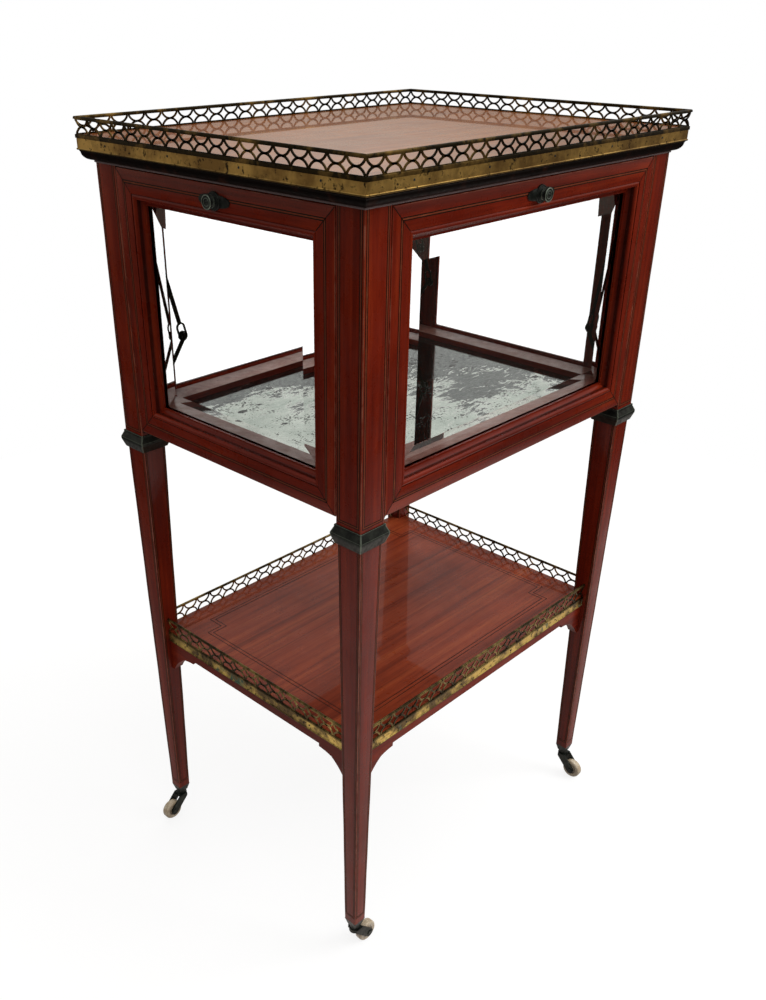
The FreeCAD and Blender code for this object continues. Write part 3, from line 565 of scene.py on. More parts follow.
def foxed_mirror(name):
    """Old silvering: pale green where it is whole, flaked to grey in streaky drifts towards one corner.

    Each flake has a whiter edge, and black specks and a few larger blots are peppered between.
    """
    look = Finish(name, {})
    place = look.place()
    drift = look.plus(look.times(look.axis(place, "X"), 0.7), look.axis(place, "Y"))
    broad = look.noise(look.stretch(place, (1.0, 1.5, 1.0)), 13.0, 3.0, 0.6)
    ragged = look.noise(look.stretch(place, (1.0, 3.0, 1.0)), 90.0, 6.0, 0.75)
    lost = look.plus(look.times(broad, 1.1), look.times(ragged, 0.95))
    lost = look.plus(lost, look.times(drift, 2.1))
    flaked = look.spread(lost, 0.945, 0.96)
    edge = look.minus(look.spread(lost, 0.88, 0.93), flaked)
    silver = look.ramp(look.noise(place, 34.0), (0.3, (0.58, 0.67, 0.6)), (0.7, (0.8, 0.88, 0.8)))
    silver = look.mix(look.larger(edge, 0.0), silver, (0.93, 0.98, 0.92))
    grey = look.ramp(look.noise(place, 240.0, 5.0), (0.35, (0.15, 0.17, 0.165)), (0.7, (0.29, 0.315, 0.3)))
    colour = look.mix(flaked, silver, grey)
    crowd = look.spread(look.noise(place, 42.0, 3.0, 0.6), 0.42, 0.66, 0.1, 0.46)
    specks = look.below(look.cells(look.stretch(place, (0.75, 1.2, 1.0)), 360.0), crowd)
    few = look.spread(look.noise(place, 15.0), 0.54, 0.64, 0.0, 0.24)
    blots = look.below(look.cells(look.stretch(place, (0.6, 1.0, 1.0)), 65.0), few)
    black = look.larger(specks, blots)
    look.feed("Base Color", look.mix(look.times(black, 0.92), colour, (0.015, 0.017, 0.015)))
    look.feed("Metallic", look.minus(1.0, look.times(black, 0.5)))
    look.feed("Roughness", look.spread(look.larger(flaked, black), 0.0, 1.0, 0.02, 0.1))
    return look.material


def porcelain(name):
    """Cream glazed porcelain with brown crazing and grime, and dirt where it is marked."""
    look = Finish(name, {"Coat Weight": 0.6, "Coat Roughness": 0.08})
    place = look.place()
    cracks = look.cells(place, 330.0, "DISTANCE_TO_EDGE")
    grime = look.noise(place, 160.0, 4.0, 0.6)
    colour = look.ramp(grime, (0.35, (0.72, 0.62, 0.46)), (0.7, (0.45, 0.33, 0.2)))
    colour = look.mix(look.times(look.marked(), 0.9), colour, (0.07, 0.035, 0.02))
    look.feed("Base Color", look.mix(look.spread(cracks, 0.0, 0.04, 0.7, 0.0), colour, (0.09, 0.05, 0.03)))
    look.feed("Roughness", look.spread(grime, 0.3, 0.7, 0.18, 0.4))
    return look.material


polished = mahogany("mahogany_polished", grain_map)
shelf_wood = mahogany(
    "mahogany_shelf", grain_along_x, ((0.15, 0.02, 0.0068), (0.275, 0.042, 0.0135), (0.39, 0.08, 0.024)),
    coat=0.22, gloss=0.03, roughness=(0.25, 0.4), streak=0.45, specular=0.1, streak_rate=210.0,
)
top_wood = mahogany(
    "mahogany_top", grain_along_x, ((0.24, 0.06, 0.012), (0.38, 0.11, 0.021), (0.5, 0.17, 0.035)),
    coat=0.75, gloss=0.025, roughness=(0.22, 0.36), streak=0.3, specular=0.12,
)
framed_wood = mahogany(
    "mahogany_framed", grain_round("XYZ", half_width, half_depth),
    coat=0.1, gloss=0.1, roughness=(0.3, 0.5), specular=0.12,
)
# The cabinet floor's frame is dusty and painted paler as light above the floor.
floor_wood = mahogany(
    "mahogany_floor", grain_round("XYZ", mirror_high.x, mirror_high.y),
    coat=0.3, gloss=0.12, roughness=(0.3, 0.5), specular=0.4, dust_and_light_above=cabinet_floor,
)
front_bead_wood = mahogany(
    "mahogany_front_beads", grain_round("XZY", front_door_half, door_half_height, door_middle)
)
side_bead_wood = mahogany("mahogany_side_beads", grain_round("YZX", side_door_half, door_half_height, door_middle))
raw_wood = mahogany(
    "backboard_deal", grain_along_x, ((0.2, 0.1, 0.045), (0.3, 0.17, 0.08), (0.4, 0.25, 0.13)),
    coat=0.0, gloss=0.3, roughness=(0.6, 0.8),
)
black_wood = ebonised("ebonised_moulding", (0.0035, 0.002, 0.0016), (0.03, 0.009, 0.005), specular=0.05)
stringing = ebonised("ebony_stringing", (0.009, 0.0036, 0.0022), (0.022, 0.006, 0.003))
pale_line = ebonised("satinwood_line", (0.2, 0.042, 0.017), (0.3, 0.085, 0.036))
# The bead under the moulding is painted pale: wax and wear, and a painted highlight along the lower edge.
worn_bead_and_highlight = ebonised("worn_bead_with_painted_highlight", (0.22, 0.165, 0.165), (0.34, 0.26, 0.25))
gallery_brass = brass(
    "gallery_brass", bright=(0.29, 0.18, 0.05), dull=(0.028, 0.02, 0.008), stain=(0.006, 0.005, 0.003),
    verdigris=(0.04, 0.09, 0.06), cover=(0.33, 0.5), green=(0.8, 0.9),
)
top_band_brass = brass(
    "top_band_brass", bright=(0.8, 0.52, 0.155), dull=(0.34, 0.2, 0.06), stain=(0.03, 0.019, 0.008),
    verdigris=(0.05, 0.07, 0.04), cover=(0.38, 0.6), green=(0.74, 0.86),
    foot=top_band_low.z + 1.2 * mm,
)
shelf_gallery_brass = brass(
    "shelf_gallery_brass", bright=(0.38, 0.27, 0.09), dull=(0.05, 0.036, 0.015), stain=(0.012, 0.009, 0.005),
    verdigris=(0.04, 0.09, 0.06), gloss=(0.28, 0.48), cover=(0.36, 0.56), green=(0.72, 0.8),
)
shelf_band_brass = brass(
    "shelf_band_brass", bright=(0.7, 0.5, 0.14), dull=(0.13, 0.085, 0.03), stain=(0.025, 0.016, 0.008),
    verdigris=(0.07, 0.12, 0.075), gloss=(0.26, 0.48), cover=(0.44, 0.58), green=(0.6, 0.66),
    foot=shelf_band_low.z + 1.1 * mm, lean=0.1,
)
# The stays are brass painted near black: tarnish, and painted shade for the dark inside of the cabinet.
stay_brass = brass(
    "stay_brass", bright=(0.035, 0.028, 0.016), dull=(0.012, 0.01, 0.007), stain=(0.005, 0.005, 0.004),
    verdigris=(0.02, 0.03, 0.02), cover=(0.35, 0.55), green=(0.8, 0.9),
)
dark_bronze = bronze("dark_bronze", (0.006, 0.0075, 0.006), (0.032, 0.038, 0.03))
door_glass = plate_glass("bevelled_plate_glass")
silvering = foxed_mirror("foxed_silvering")
glazed = porcelain("porcelain_glaze")


def dress(name, finish):
    """Puts a finish on a node of the frame."""
    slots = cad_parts[name].data.materials
    slots.clear()
    slots.append(finish)


# Legs: square posts over square tapers, with worn edges painted pale as a highlight and inner faces painted dark as
# shade

taper_rows, post_rows = 40, 26
edge_wear, short_wave, long_wave = 0.35, 61, 23
inner_points = (19, 0, 1, 2, 3, 4, 5)


def square_rows(half, radius):
    """Sections of a square bar with rounded edges, one row for each half size and edge radius.

    Each corner is a quarter circle about a point at half - radius from both axes, in a few points.
    """
    turn = np.radians(np.arange(4)[:, None] * 90 + np.linspace(0, 90, corner_points)).ravel()
    centre_x = np.repeat([1, -1, -1, 1], corner_points)
    centre_y = np.repeat([1, 1, -1, -1], corner_points)
    inset = (half - radius)[:, None]
    return np.stack([
        inset * centre_x + radius[:, None] * np.cos(turn), inset * centre_y + radius[:, None] * np.sin(turn),
    ], axis=-1)


def leg_half(height):
    """Half the leg's width at a height: a straight taper up to the collar."""
    share = (height - leg_end) / (collar_low.z - leg_end)
    return leg_end_half + (leg_top_half - leg_end_half) * share


def leg_surface(quarter):
    """The leg at the left end of a side: rounded squares carried up the taper, then up the post.

    Its edges are rubbed and painted pale as a highlight, and their radius varies with the product of two sine waves
    along its height. Its two faces inside the cabinet, at the section's inner points, are painted dark as shade.
    """
    taper = np.linspace(leg_end, collar_low.z, taper_rows)
    post = np.linspace(collar_low.z, post_top, post_rows)
    height = np.concatenate([taper, post])
    half = np.concatenate([leg_half(taper), np.full(post_rows, post_size / 2)])
    wear = edge_wear * np.sin(height * short_wave + quarter) * np.sin(height * long_wave + 2 * quarter)
    section = square_rows(half, edge_round * (1 + wear))
    points = turned(xyz(section[..., 0], section[..., 1], height[:, None]), quarter) + leg_axis(quarter)
    surface = Surface()
    across = girth(section[-1]) + leg_girth_shift * quarter
    # Arris points are marked 1 for a painted highlight, and inner faces above the cabinet floor are marked -1 for
    # painted shade.
    arris = np.tile([0, 1, 1, 1, 0], 4)
    inner = np.isin(np.arange(len(arris)), inner_points)
    marks = np.where(inner & (height[:, None] > cabinet_floor), -1, arris)
    surface.grid(points, height[:, None] + leg_shift * quarter, across, marked=marks)
    return surface


for quarter, place in enumerate(leg_names):
    made = piece(f"leg_{place}_polished", "carcass", polished, leg_surface(quarter))
    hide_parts(f"leg_{place}")

# Collars: a deep fascia that leans out, a round nosing and a sloped head under a thin fillet

collar_top, collar_foot, collar_back = collar_high.z, collar_low.z, -2.5 * mm
fillet_out, fillet_foot = 1.2 * mm, collar_top - 2.2 * mm
nosing_out, nosing_top, nosing_foot = collar_high.x - half_width, collar_foot + 11.2 * mm, collar_foot + 8.6 * mm
fascia_out = 0.7 * mm
collar_section = np.concatenate([
    [(collar_back, collar_top)],
    eased((collar_back, collar_top), (fillet_out, collar_top), (fillet_out, fillet_foot), 0.4 * mm),
    eased((fillet_out, collar_top), (fillet_out, fillet_foot), (nosing_out, nosing_top + 0.3 * mm), 0.3 * mm, 3),
    eased((fillet_out, fillet_foot), (nosing_out, nosing_top), (nosing_out, collar_foot), 0.9 * mm, 5),
    eased((nosing_out, collar_top), (nosing_out - 0.1 * mm, nosing_foot), (fascia_out, collar_foot), 0.7 * mm),
    eased((nosing_out, nosing_foot + 0.4 * mm), (fascia_out, collar_foot), (collar_back, collar_foot), 0.3 * mm, 3),
    [(collar_back, collar_foot)],
])
collar_stations = 25
# The fillet and nosing edges (0.6) and the mitres at each side's ends (1.0) are painted pale: painted highlights on
# rubbed bronze.
collar_edges = (2, 3, 10)
collar_marks = np.zeros((collar_stations, len(collar_section)))
collar_marks[:, collar_edges] = 0.6
collar_marks[(0, -1), :] = 1.0
for quarter, place in enumerate(leg_names):
    half = post_size / 2
    ring = ring_of_sides(collar_section, half, half, collar_stations, leg_axis(quarter), collar_marks)
    made = piece(f"collar_{place}", "carcass", dark_bronze, ring)
    if quarter == 0:
        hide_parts("leg_collars")

# Top: board, ebonised moulding over a rubbed bead painted pale as a highlight, brass band and pierced gallery

moulding_out, moulding_top = moulding_high.x - half_width, moulding_high.z
moulding_back = -36.0 * mm
bead_foot, bead_top = moulding_low.z, moulding_low.z + 2.1 * mm
moulding_section = np.concatenate([
    [(moulding_back, bead_top), (0.4 * mm, bead_top)],
    bow((0.5 * mm, bead_top + 0.2 * mm), (moulding_out - 0.6 * mm, moulding_top - 1.6 * mm), 2.5 * mm, 11),
    [(moulding_out, moulding_top - 0.9 * mm), (moulding_out, moulding_top), (moulding_back, moulding_top)],
])
made = piece(
    "edge_moulding", "carcass", black_wood, ring_of_sides(moulding_section, half_width, half_depth)
)
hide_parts("top_edge_moulding")
bead_section = np.concatenate([
    [(moulding_back, bead_top), (moulding_back, bead_foot)],
    bow((0.0, bead_foot), (0.0, bead_top), 1.0 * mm, 7),
])
piece("edge_bead", "carcass", worn_bead_and_highlight, ring_of_sides(bead_section, half_width, half_depth))
dress("top_board", top_wood)
dress("top_door_stops", framed_wood)


def band_section(low, high):
    """A flat brass strip with a round bead along its foot."""
    foot = bow((0.0, low), (0.0, low + band_bead), band_proud, 7)
    return np.concatenate([[(band_back, low)], foot, [(0.0, high), (band_back, high)]])


def ledge_section(low, high):
    """The gallery's own foot over the band: a narrow flange, rounded at its upper edge."""
    head = eased((band_proud, low), (band_proud, high), (band_back, high), 0.4 * mm)
    return np.concatenate([[(band_back, low), (band_proud, low)], head, [(band_back, high)]])


top_face_x = top_band_high.x - band_proud
top_face_y = top_band_high.y - band_proud
top_ledge = top_band_high.z - ledge_height
bands = ring_of_sides(band_section(top_band_low.z, top_ledge), top_face_x, top_face_y)
made = piece("top_band", "carcass", top_band_brass, bands)
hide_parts("top_gallery_bands")


def arch_strip(surface, half_length, half_out, low, high, quarter):
    """A pierced strip: upright arches on the foot and hanging arches from the head, crown to crown.

    Each arch is a circular arc of the wire's middle line from -arch_half_width to arch_half_width, which rises
    from the lip to the middle of the strip; the wire is a flat bar across the strip's thickness.
    """
    count = round(2 * half_length / gallery_pitch)
    pitch = 2 * half_length / count
    centres = (np.arange(count) - (count - 1) / 2) * pitch
    rise = (high - low) / 2 - strip_lip
    radius = (arch_half_width ** 2 + rise ** 2) / (2 * rise)
    sweep = math.atan2(arch_half_width, radius - rise)
    angle = np.linspace(-sweep, sweep, 11)
    inner, outer = radius - arch_wire / 2, radius + arch_wire / 2
    reach = np.array([inner, outer, outer, inner])
    depth = np.array([0.0, 0.0, strip_thickness, strip_thickness])
    x = np.sin(angle)[:, None] * reach
    rise_from_lip = np.cos(angle)[:, None] * reach - (radius - rise)
    y = -half_out + strip_setback + depth
    for way, lip in ((1, low + strip_lip), (-1, high - strip_lip)):
        for centre in centres:
            points = turned(xyz(x + centre, y, lip + way * rise_from_lip), quarter)
            surface.grid(points, angle[:, None] * arc_map, np.arange(5) * mm)
    front, back, ease = -strip_setback, -strip_setback - strip_thickness, 0.1 * mm
    for bottom, top in ((low, low + strip_lip), (high - strip_lip, high)):
        section = np.array([
            (front - ease, bottom), (front, bottom + ease), (front, top - ease), (front - ease, top),
            (back + ease, top), (back, top - ease), (back, bottom + ease), (back + ease, bottom),
        ])
        side_length(surface, section, half_length, half_out, quarter, mitre=0)


def rim_section(low):
    """A rail rounded over its top, centred on the pierced strip."""
    middle = -strip_setback - strip_thickness / 2
    front, back = middle + rim_width / 2, middle - rim_width / 2
    spring = low + rim_spring
    arch = bow((front, spring), (back, spring), low + rim_height - spring, 9)
    return np.concatenate([[(back, low), (front, low)], arch])


top_rim = top_gallery_high.z - rim_height
gallery = ring_of_sides(rim_section(top_rim), top_face_x, top_face_y)
for quarter in range(4):
    along, out = halves(quarter, top_face_x, top_face_y)
    side_length(gallery, ledge_section(top_ledge, top_band_high.z), along, out, quarter)
    ends = along - strip_setback - (quarter % 2) * strip_thickness
    arch_strip(gallery, ends, out, top_gallery_low.z, top_rim, quarter)
made = piece("top_gallery", "carcass", gallery_brass, gallery)
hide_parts("top_galleries")

# Cabinet floor

dress("cabinet_floor_frame", floor_wood)
dress("floor_mirror", silvering)
dress("mirror_backboard", raw_wood)

# Doors, with their lines and knobs

knob_profile = np.array([
    (0.0, -0.5), (8.0, -0.5), (8.0, 1.3), (7.7, 1.9), (7.0, 2.2), (6.4, 2.0), (5.8, 2.4), (5.0, 2.6), (4.7, 2.9),
    (5.3, 3.6), (5.5, 4.4), (5.3, 5.3), (4.5, 6.0), (4.2, 6.3), (4.9, 6.8), (5.8, 7.2), (6.3, 7.8), (6.3, 8.7),
    (6.0, 9.3), (5.5, 9.5), (5.1, 9.2), (4.8, 8.8), (4.0, 8.7), (3.7, 9.1), (3.3, 9.3), (2.9, 9.1), (2.6, 8.8),
    (1.9, 8.8), (1.6, 9.3), (1.1, 9.7), (0.5, 9.9), (0.0, 9.95),
]) * mm
# Profile points painted pale on the knob: painted highlights on its rubbed bead and rings.
knob_rubbed_highlights = (10, 18, 19, 24)
knob_segments = 28
plate_half = 20.0 * mm
plate_half_width = 5.5 * mm
plate_taper, plate_power, plate_tip = 0.45, 12, 0.05 * mm
plate_section = np.array([
    (1.0, -0.3), (1.0, 0.7), (0.93, 1.1), (0.0, 1.2), (-0.93, 1.1), (-1.0, 0.7), (-1.0, -0.3),
]) * (1.0, mm)


def door_reach(quarter):
    """Half the length of a side's door, and the distance out to its face."""
    return halves(quarter, front_door_half, side_door_half)[0], halves(quarter, half_width, half_depth)[1]


def door_section(rounded_foot):
    """Closed outline of a door member as (in from the edge, depth): flat, bead, step and hollow, then the rebate.

    The bottom rail's heel is a quarter circle about the pivot.
    """
    back = door_thickness
    if rounded_foot:
        turn = np.linspace(math.pi / 2, math.pi, 8)[:, None]
        heel = pivot_round + pivot_round * np.concatenate([np.cos(turn), np.sin(turn)], axis=1)
    else:
        heel = eased((rebate_start, back), (0.0, back), (0.0, 0.0), 0.6 * mm)
    return np.concatenate([
        eased((0.0, back), (0.0, 0.0), (door_flat, 0.0), 0.8 * mm),
        eased((0.0, 0.0), (door_flat, 0.0), (door_flat, bead_start), 0.25 * mm, 3),
        bow((door_flat, bead_start), (door_member, bead_end), bead_rise, 9),
        bow((door_member, hollow_start), (door_lip, hollow_end), hollow_rise, 6),
        [(door_lip, glass_depth), (rebate_start, glass_depth), (rebate_start, back)],
        heel,
    ])


def door_frame(quarter):
    """Two rails and two stiles mitred together: every point of a section runs to the mitre at its own width.

    The stiles' feet are trimmed to the quarter circle that the bottom rail turns on.
    """
    half, out = door_reach(quarter)
    surface = Surface()

    def member(section, start, end, axis, grain_start):
        points = np.stack([start, end])
        travel = points[..., axis] - points[..., axis].min() + grain_start
        travel = np.concatenate([travel, travel[:, :1]], axis=1)
        order = np.arange(len(section))
        # Arris points are marked 1 for a painted highlight, and step points are marked -1 for painted shade.
        marks = np.isin(order, door_arris).astype(float) - np.isin(order, door_steps)
        surface.grid(turned(points, quarter), travel, girth(section) + grain_start, marked=marks)

    for level, way, rounded in ((door_bottom, 1, True), (door_top, -1, False)):
        section = door_section(rounded)
        w, d = section.T
        y, z = -out + d, level + way * w
        start = xyz(-half + w + mitre_gap, y, z)
        end = xyz(half - w - mitre_gap, y, z)
        member(section, start, end, 0, rail_shift * quarter + rail_end_shift * way)
    section = door_section(False)
    w, d = section.T
    deep = np.clip(d - pivot_round, 0.0, pivot_round)
    foot = pivot_round - np.sqrt(pivot_round ** 2 - deep ** 2)
    for way in (-1, 1):
        x, y = way * (half - w), -out + d
        start = xyz(x, y, door_bottom + np.maximum(w, foot) + mitre_gap)
        end = xyz(x, y, door_top - w - mitre_gap)
        member(section, start, end, 2, stile_shift * quarter + stile_end_shift * way + stile_start)
    return surface


def strands(paler):
    """The width of the two dark lines, or of the paler one between them, and how far each lies from the middle."""
    return (line_gap - line_width, (0.0,)) if paler else (line_width, (-line_gap / 2, line_gap / 2))


def door_lines(quarter, paler):
    """Two dark lines round a door's face with the dark joints of its four mitres, or the paler line between them."""
    half, out = door_reach(quarter)
    surface = Surface()
    normal = outward(quarter)
    corners = np.array([(-1, -1), (1, -1), (1, 1), (-1, 1)], float)

    def at(inset):
        x, z = (corners * (np.array([half, door_half_height]) - inset)).T
        return turned(xyz(x, -out, door_middle + z), quarter)

    width, sides = strands(paler)
    for side in sides:
        line_inlay(surface, at(door_line_inset + side), normal, closed=True, width=width)
    for outer, inner in () if paler else zip(*map(at, mitre_line)):
        line_inlay(surface, [outer, inner], normal, width=mitre_width)
    return surface


def knob_surface(quarter):
    """A turned knob spun about its axis, on a plate with two blunt ends.

    The knob is a rose, a fat bead and a dished face with raised rings. The plate narrows with the square of the
    distance from its middle and closes in a short rounded end, and its edge is eased up to its face.
    """
    low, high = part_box(f"{side_names[quarter]}_door_knob")
    out = door_reach(quarter)[1]
    height = (low.z + high.z) / 2
    surface = Surface()
    base = turned((0.0, -out, height), quarter)
    lathe(surface, knob_profile, base, outward(quarter), knob_segments, knob_rubbed_highlights)
    share = np.sin(np.linspace(-math.pi / 2, math.pi / 2, 33))[:, None]
    lens = plate_half_width * (1 - plate_taper * share ** 2) * np.sqrt(1 - share ** plate_power) + plate_tip
    x, y, z = share * plate_half, -out - plate_section[:, 1], height + lens * plate_section[:, 0]
    surface.grid(turned(xyz(x, y, z), quarter), x, np.arange(len(plate_section) + 1) * mm)
    return surface


for quarter, side in enumerate(side_names):
    body = f"{side}_door"
    made = piece(f"{side}_door_members", body, polished, door_frame(quarter), 25.0)
    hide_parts(f"{side}_door_frame")
    piece(f"{side}_door_stringing", body, stringing, door_lines(quarter, False))
    piece(f"{side}_door_pale_line", body, pale_line, door_lines(quarter, True))
    made = piece(f"{side}_knob", body, dark_bronze, knob_surface(quarter), 50.0)
    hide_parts(f"{side}_door_knob")
    dress(f"{side}_door_glass", door_glass)
    dress(f"{side}_door_beads", side_bead_wood if quarter % 2 else front_bead_wood)
    for name in ("door_fittings", "stay_upper_arm", "stay_lower_arm"):
        dress(f"{side}_{name}", stay_brass)
dress("stay_studs", stay_brass)

# Stringing on the posts, legs and shelf


def post_lines(quarter, paler):
    """Lines near the edges of a leg's four faces: down each side of the post and across above the collar.

    They go down each side of the taper and across above its foot too.
    """
    surface = Surface()
    post_half = post_size / 2
    mirrored = np.array([-1, 1, 1])
    width, sides = strands(paler)
    for side in sides:
        edge = post_half - post_line_inset - side
        post_ends = (edge, -post_half, post_top), (edge, -post_half, collar_high.z + post_line_foot + side)
        foot = leg_end + leg_line_foot + side
        inset = leg_line_inset + leg_line_share * side
        high, low = leg_half(collar_low.z), leg_half(foot)
        leg_ends = (high - inset, -high, collar_low.z), (low - inset, -low, foot)
        for face in range(4):
            for (top, end), share in ((post_ends, 1.0), (leg_ends, leg_line_share)):
                path = turned([top * mirrored, end * mirrored, end, top], face)
                line_inlay(surface, path + leg_axis(quarter), outward(face), width=share * width)
    return surface


for quarter, place in enumerate(leg_names):
    piece(f"leg_{place}_stringing", "carcass", stringing, post_lines(quarter, False))
    piece(f"leg_{place}_pale_line", "carcass", pale_line, post_lines(quarter, True))


def shelf_lines():
    """Two parallel lines round the shelf, stepping in square at each corner."""
    surface = Surface()
    for offset in (0.0, shelf_line_gap):
        x, y = shelf_line_x - offset, shelf_line_y - offset
        corner = np.array([(x, y - shelf_notch), (x - shelf_notch, y - shelf_notch), (x - shelf_notch, y)])
        path = np.concatenate([corner, corner[::-1] * (-1, 1), corner * (-1, -1), corner[::-1] * (1, -1)])
        line_inlay(surface, xyz(*path.T, shelf_top), np.array([0.0, 0.0, 1.0]), closed=True)
    return surface


piece("shelf_stringing", "carcass", stringing, shelf_lines())

# Shelf

dress("shelf_board", shelf_wood)
dress("shelf_aprons", framed_wood)
shelf_face_x = shelf_band_high.x - band_proud
shelf_face_y = shelf_band_high.y - band_proud
shelf_rim = shelf_gallery_high.z - rim_height
shelf_ledge = shelf_band_high.z - shelf_ledge_height
bands = Surface()
gallery = Surface()
for quarter in range(4):
    out = halves(quarter, shelf_face_x, shelf_face_y)[1]
    ends = halves(quarter, leg_axis_x, leg_axis_y)[0] - leg_half(shelf_gallery_high.z)
    side_length(bands, band_section(shelf_band_low.z, shelf_ledge), ends, out, quarter, mitre=0)
    for section in (ledge_section(shelf_ledge, shelf_band_high.z), rim_section(shelf_rim)):
        side_length(gallery, section, ends, out, quarter, mitre=0)
    arch_strip(gallery, ends, out, shelf_gallery_low.z, shelf_rim, quarter)
made = piece("shelf_band", "carcass", shelf_band_brass, bands)
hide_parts("shelf_gallery_bands")
made = piece("shelf_gallery", "carcass", shelf_gallery_brass, gallery)
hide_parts("shelf_galleries")
dress("gallery_pins", dark_bronze)

# Castors

wheel_face = np.array([(2.1, -0.6), (3.6, -0.2), (5.4, -0.3), (5.9, -0.9), (6.5, -0.9), (7.0, -0.2)]) * mm
wheel_round = 2.2 * mm
wheel_segments = 36


def wheel_surface(place):
    """A porcelain roller: a rounded tread, a sunk ring on each face and a hub, spun about its axle."""
    low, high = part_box(f"castor_wheel_{place}")
    width_x, width_y = high.x - low.x, high.y - low.y
    axis = (0.0, 1.0, 0.0) if width_y < width_x else (1.0, 0.0, 0.0)
    half = min(width_x, width_y) / 2
    radius = (high.z - low.z) / 2
    rim = bow((radius - wheel_round, half), (radius, half - wheel_round), -0.6 * mm, 6)
    outer = np.concatenate([wheel_face + (0.0, half), [(radius - 2.4 * mm, half)], rim])
    profile = np.concatenate([outer, outer[::-1] * (1, -1)])
    last = len(profile) - 1
    dirty = (0, 3, 4, last - 4, last - 3, last)
    surface = Surface()
    lathe(surface, profile, (low + high) / 2, axis, wheel_segments, dirty, closed=True)
    return surface


dress("castor_cups", dark_bronze)
for place in leg_names:
    made = piece(f"roller_{place}", f"wheel_{place}", glazed, wheel_surface(place))
    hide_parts(f"castor_wheel_{place}")
    dress(f"castor_horn_{place}", dark_bronze)
    dress(f"castor_axle_{place}", dark_bronze)

# Stage: a pale floor, a soft sky with its light from above and the right, and the camera

floor_radius = 1.4
floor_points = 96
horizon_strength = 0.4
window_strength = 0.45
left_strength = 0.3
zenith_strength = 0.78


def looked_at(tree):
    """One for what the camera sees, straight or through glass; nought for light that has bounced off anything.

    The node that tells the light's path comes with it.
    """
    path = tree.node("LightPath", {}).node
    bounces = tree.plus(path.outputs["Diffuse Depth"], path.outputs["Glossy Depth"])
    return tree.below(bounces, 0.5), path


def pale_floor():
    """A flat disc on the ground, a ring of points round its centre.

    It is white with a faint shadow where it is looked at. In the polish of the legs it is dimmer, paler towards
    the camera and the right, and fades towards its rim.
    """
    angle = np.arange(floor_points) / floor_points * 2 * math.pi
    ring = xyz(np.cos(angle), np.sin(angle), 0.0) * floor_radius
    mesh = bpy.data.meshes.new("pale_floor")
    mesh.from_pydata(ring.tolist(), [], [list(range(floor_points))])
    paint = bpy.data.materials.new("pale_floor")
    paint.use_nodes = True
    paint.node_tree.nodes.clear()
    tree = Tree(paint.node_tree)
    seen, path = looked_at(tree)
    place = tree.place()
    right = tree.dot(place, (0.25, -0.25, 0.0))
    near = tree.larger(tree.dot(place, (-0.75, -0.75, 0.0)), 0.0)
    sheen = tree.plus(tree.plus(right, near), 0.5)
    reach = tree.node("VectorMath", {0: place}, "Value", operation="LENGTH")
    faded = tree.times(sheen, tree.straight(reach, 0.9, 1.25, 1.0, 0.1))
    dim = tree.straight(path.outputs["Is Glossy Ray"], 0.0, 1.0, 0.06, faded)
    glow = tree.node("Emission", {"Color": (1.0, 0.9, 0.84, 1.0), "Strength": dim})
    white = tree.node("Emission", {"Strength": 0.82})
    shadowed = tree.node("BsdfDiffuse", {"Color": (0.24, 0.24, 0.24, 1.0)})
    lit = tree.node("AddShader", {0: white, 1: shadowed})
    tree.node("OutputMaterial", {"Surface": tree.node("MixShader", {0: seen, 1: glow, 2: lit})})
    mesh.materials.append(paint)
    floor = linked("pale_floor", mesh)


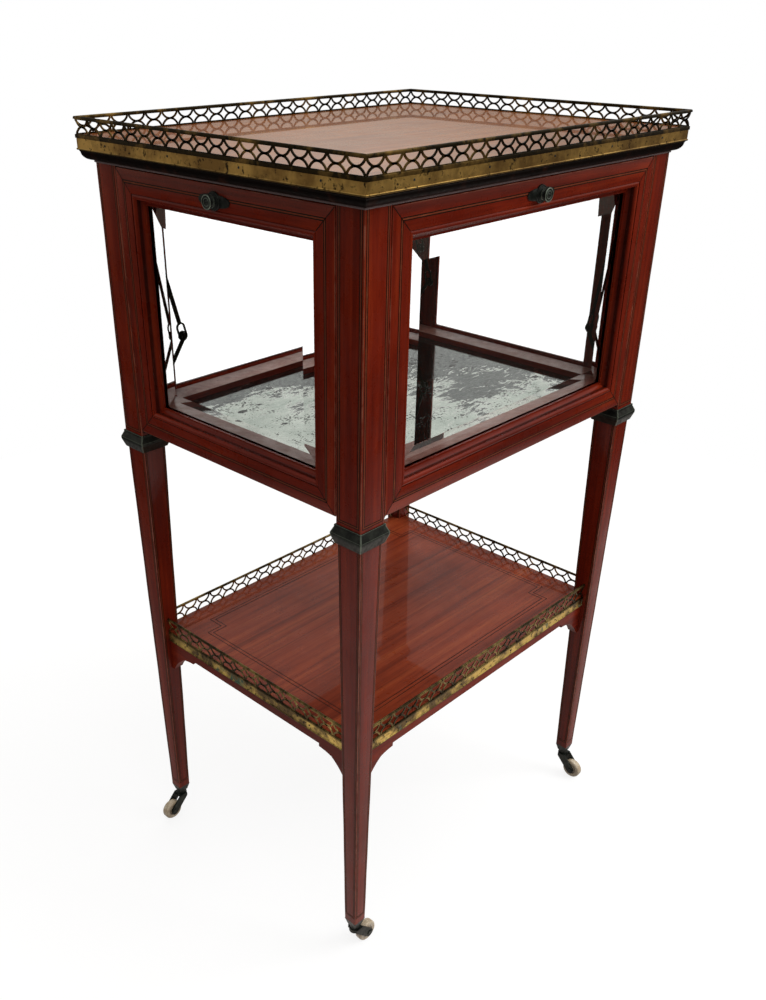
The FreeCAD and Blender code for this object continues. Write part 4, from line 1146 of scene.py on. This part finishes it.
def soft_sky():
    """White where it is looked at; for light, brightest overhead and on the right, dark below the horizon.

    A soft window stands behind the table, where its mirror looks, and a low one on the left, where its band does.
    """
    world = bpy.data.worlds.new("soft_sky")
    bpy.context.scene.world = world
    world.use_nodes = True
    world.node_tree.nodes.clear()
    sky = Tree(world.node_tree)
    direction = sky.place("Generated")
    height = sky.axis(direction, "Z")
    horizon = sky.spread(height, -0.16, 0.1, 0.03, horizon_strength)
    overhead = sky.spread(height, 0.3, 0.95, 0.0, zenith_strength)
    right = sky.straight(sky.dot(direction, (0.55, -0.75, 0.35)), -0.6, 0.9, 0.25, 1.35)
    strength = sky.times(sky.plus(horizon, overhead), right)
    window = sky.spread(sky.dot(direction, (0.655, 0.655, 0.375)), 0.94, 0.98, 0.0, window_strength)
    strength = sky.plus(strength, window)
    left = sky.spread(sky.dot(direction, (-0.61, 0.79, 0.0)), 0.8, 0.96, 0.0, left_strength)
    strength = sky.plus(strength, sky.straight(height, -0.2, -0.12, 0.0, left))
    warmth = sky.mix(sky.straight(height, 0.05, 0.3), (1.0, 0.86, 0.72), (1.0, 0.985, 0.96))
    seen, path = looked_at(sky)
    brightness = sky.straight(path.outputs["Is Transmission Ray"], 0.0, 1.0, 1.0, 1.4)
    white = sky.node("Background", {"Color": (1.0, 1.0, 1.0, 1.0), "Strength": brightness})
    light = sky.node("Background", {"Color": warmth, "Strength": strength})
    sky.node("OutputWorld", {"Surface": sky.node("MixShader", {0: seen, 1: light, 2: white})})


def soft_box(name, place, aim, size, power, spread=180.0):
    """A large square lamp turned to face a point, whose light spreads over an angle."""
    data = bpy.data.lights.new(name, "AREA")
    data.shape = "SQUARE"
    data.size = size
    data.energy = power
    data.spread = math.radians(spread)
    lamp = linked(name, data)
    lamp.location = place
    lamp.rotation_euler = (Vector(aim) - Vector(place)).to_track_quat("-Z", "Y").to_euler()
    lamp.visible_camera = lamp.visible_glossy = lamp.visible_transmission = False


pale_floor()
soft_sky()
soft_box("right_soft_box", (1.5, -1.9, 1.9), (0.0, 0.0, 0.5), 1.4, 32.0)
soft_box("cabinet_soft_box", (0.0, 0.0, post_top - 8 * mm), (0.0, 0.0, 0.0), 0.28, 0.2, 60.0)

camera_data = bpy.data.cameras.new("photo_camera")
camera_data.sensor_width = 36.0
camera_data.lens = 35.796
camera_data.shift_x = 0.0408
camera_data.shift_y = 0.0602
camera_data.clip_start = 0.05
camera = linked("photo_camera", camera_data)
camera.location = (-0.7769, -0.6857, 0.9401)
camera.rotation_euler = Euler([math.radians(turn) for turn in (90 - 29.34, -0.16, -45.79)], "XYZ")
bpy.context.scene.camera = camera
bpy.context.scene.view_settings.view_transform = "Standard"
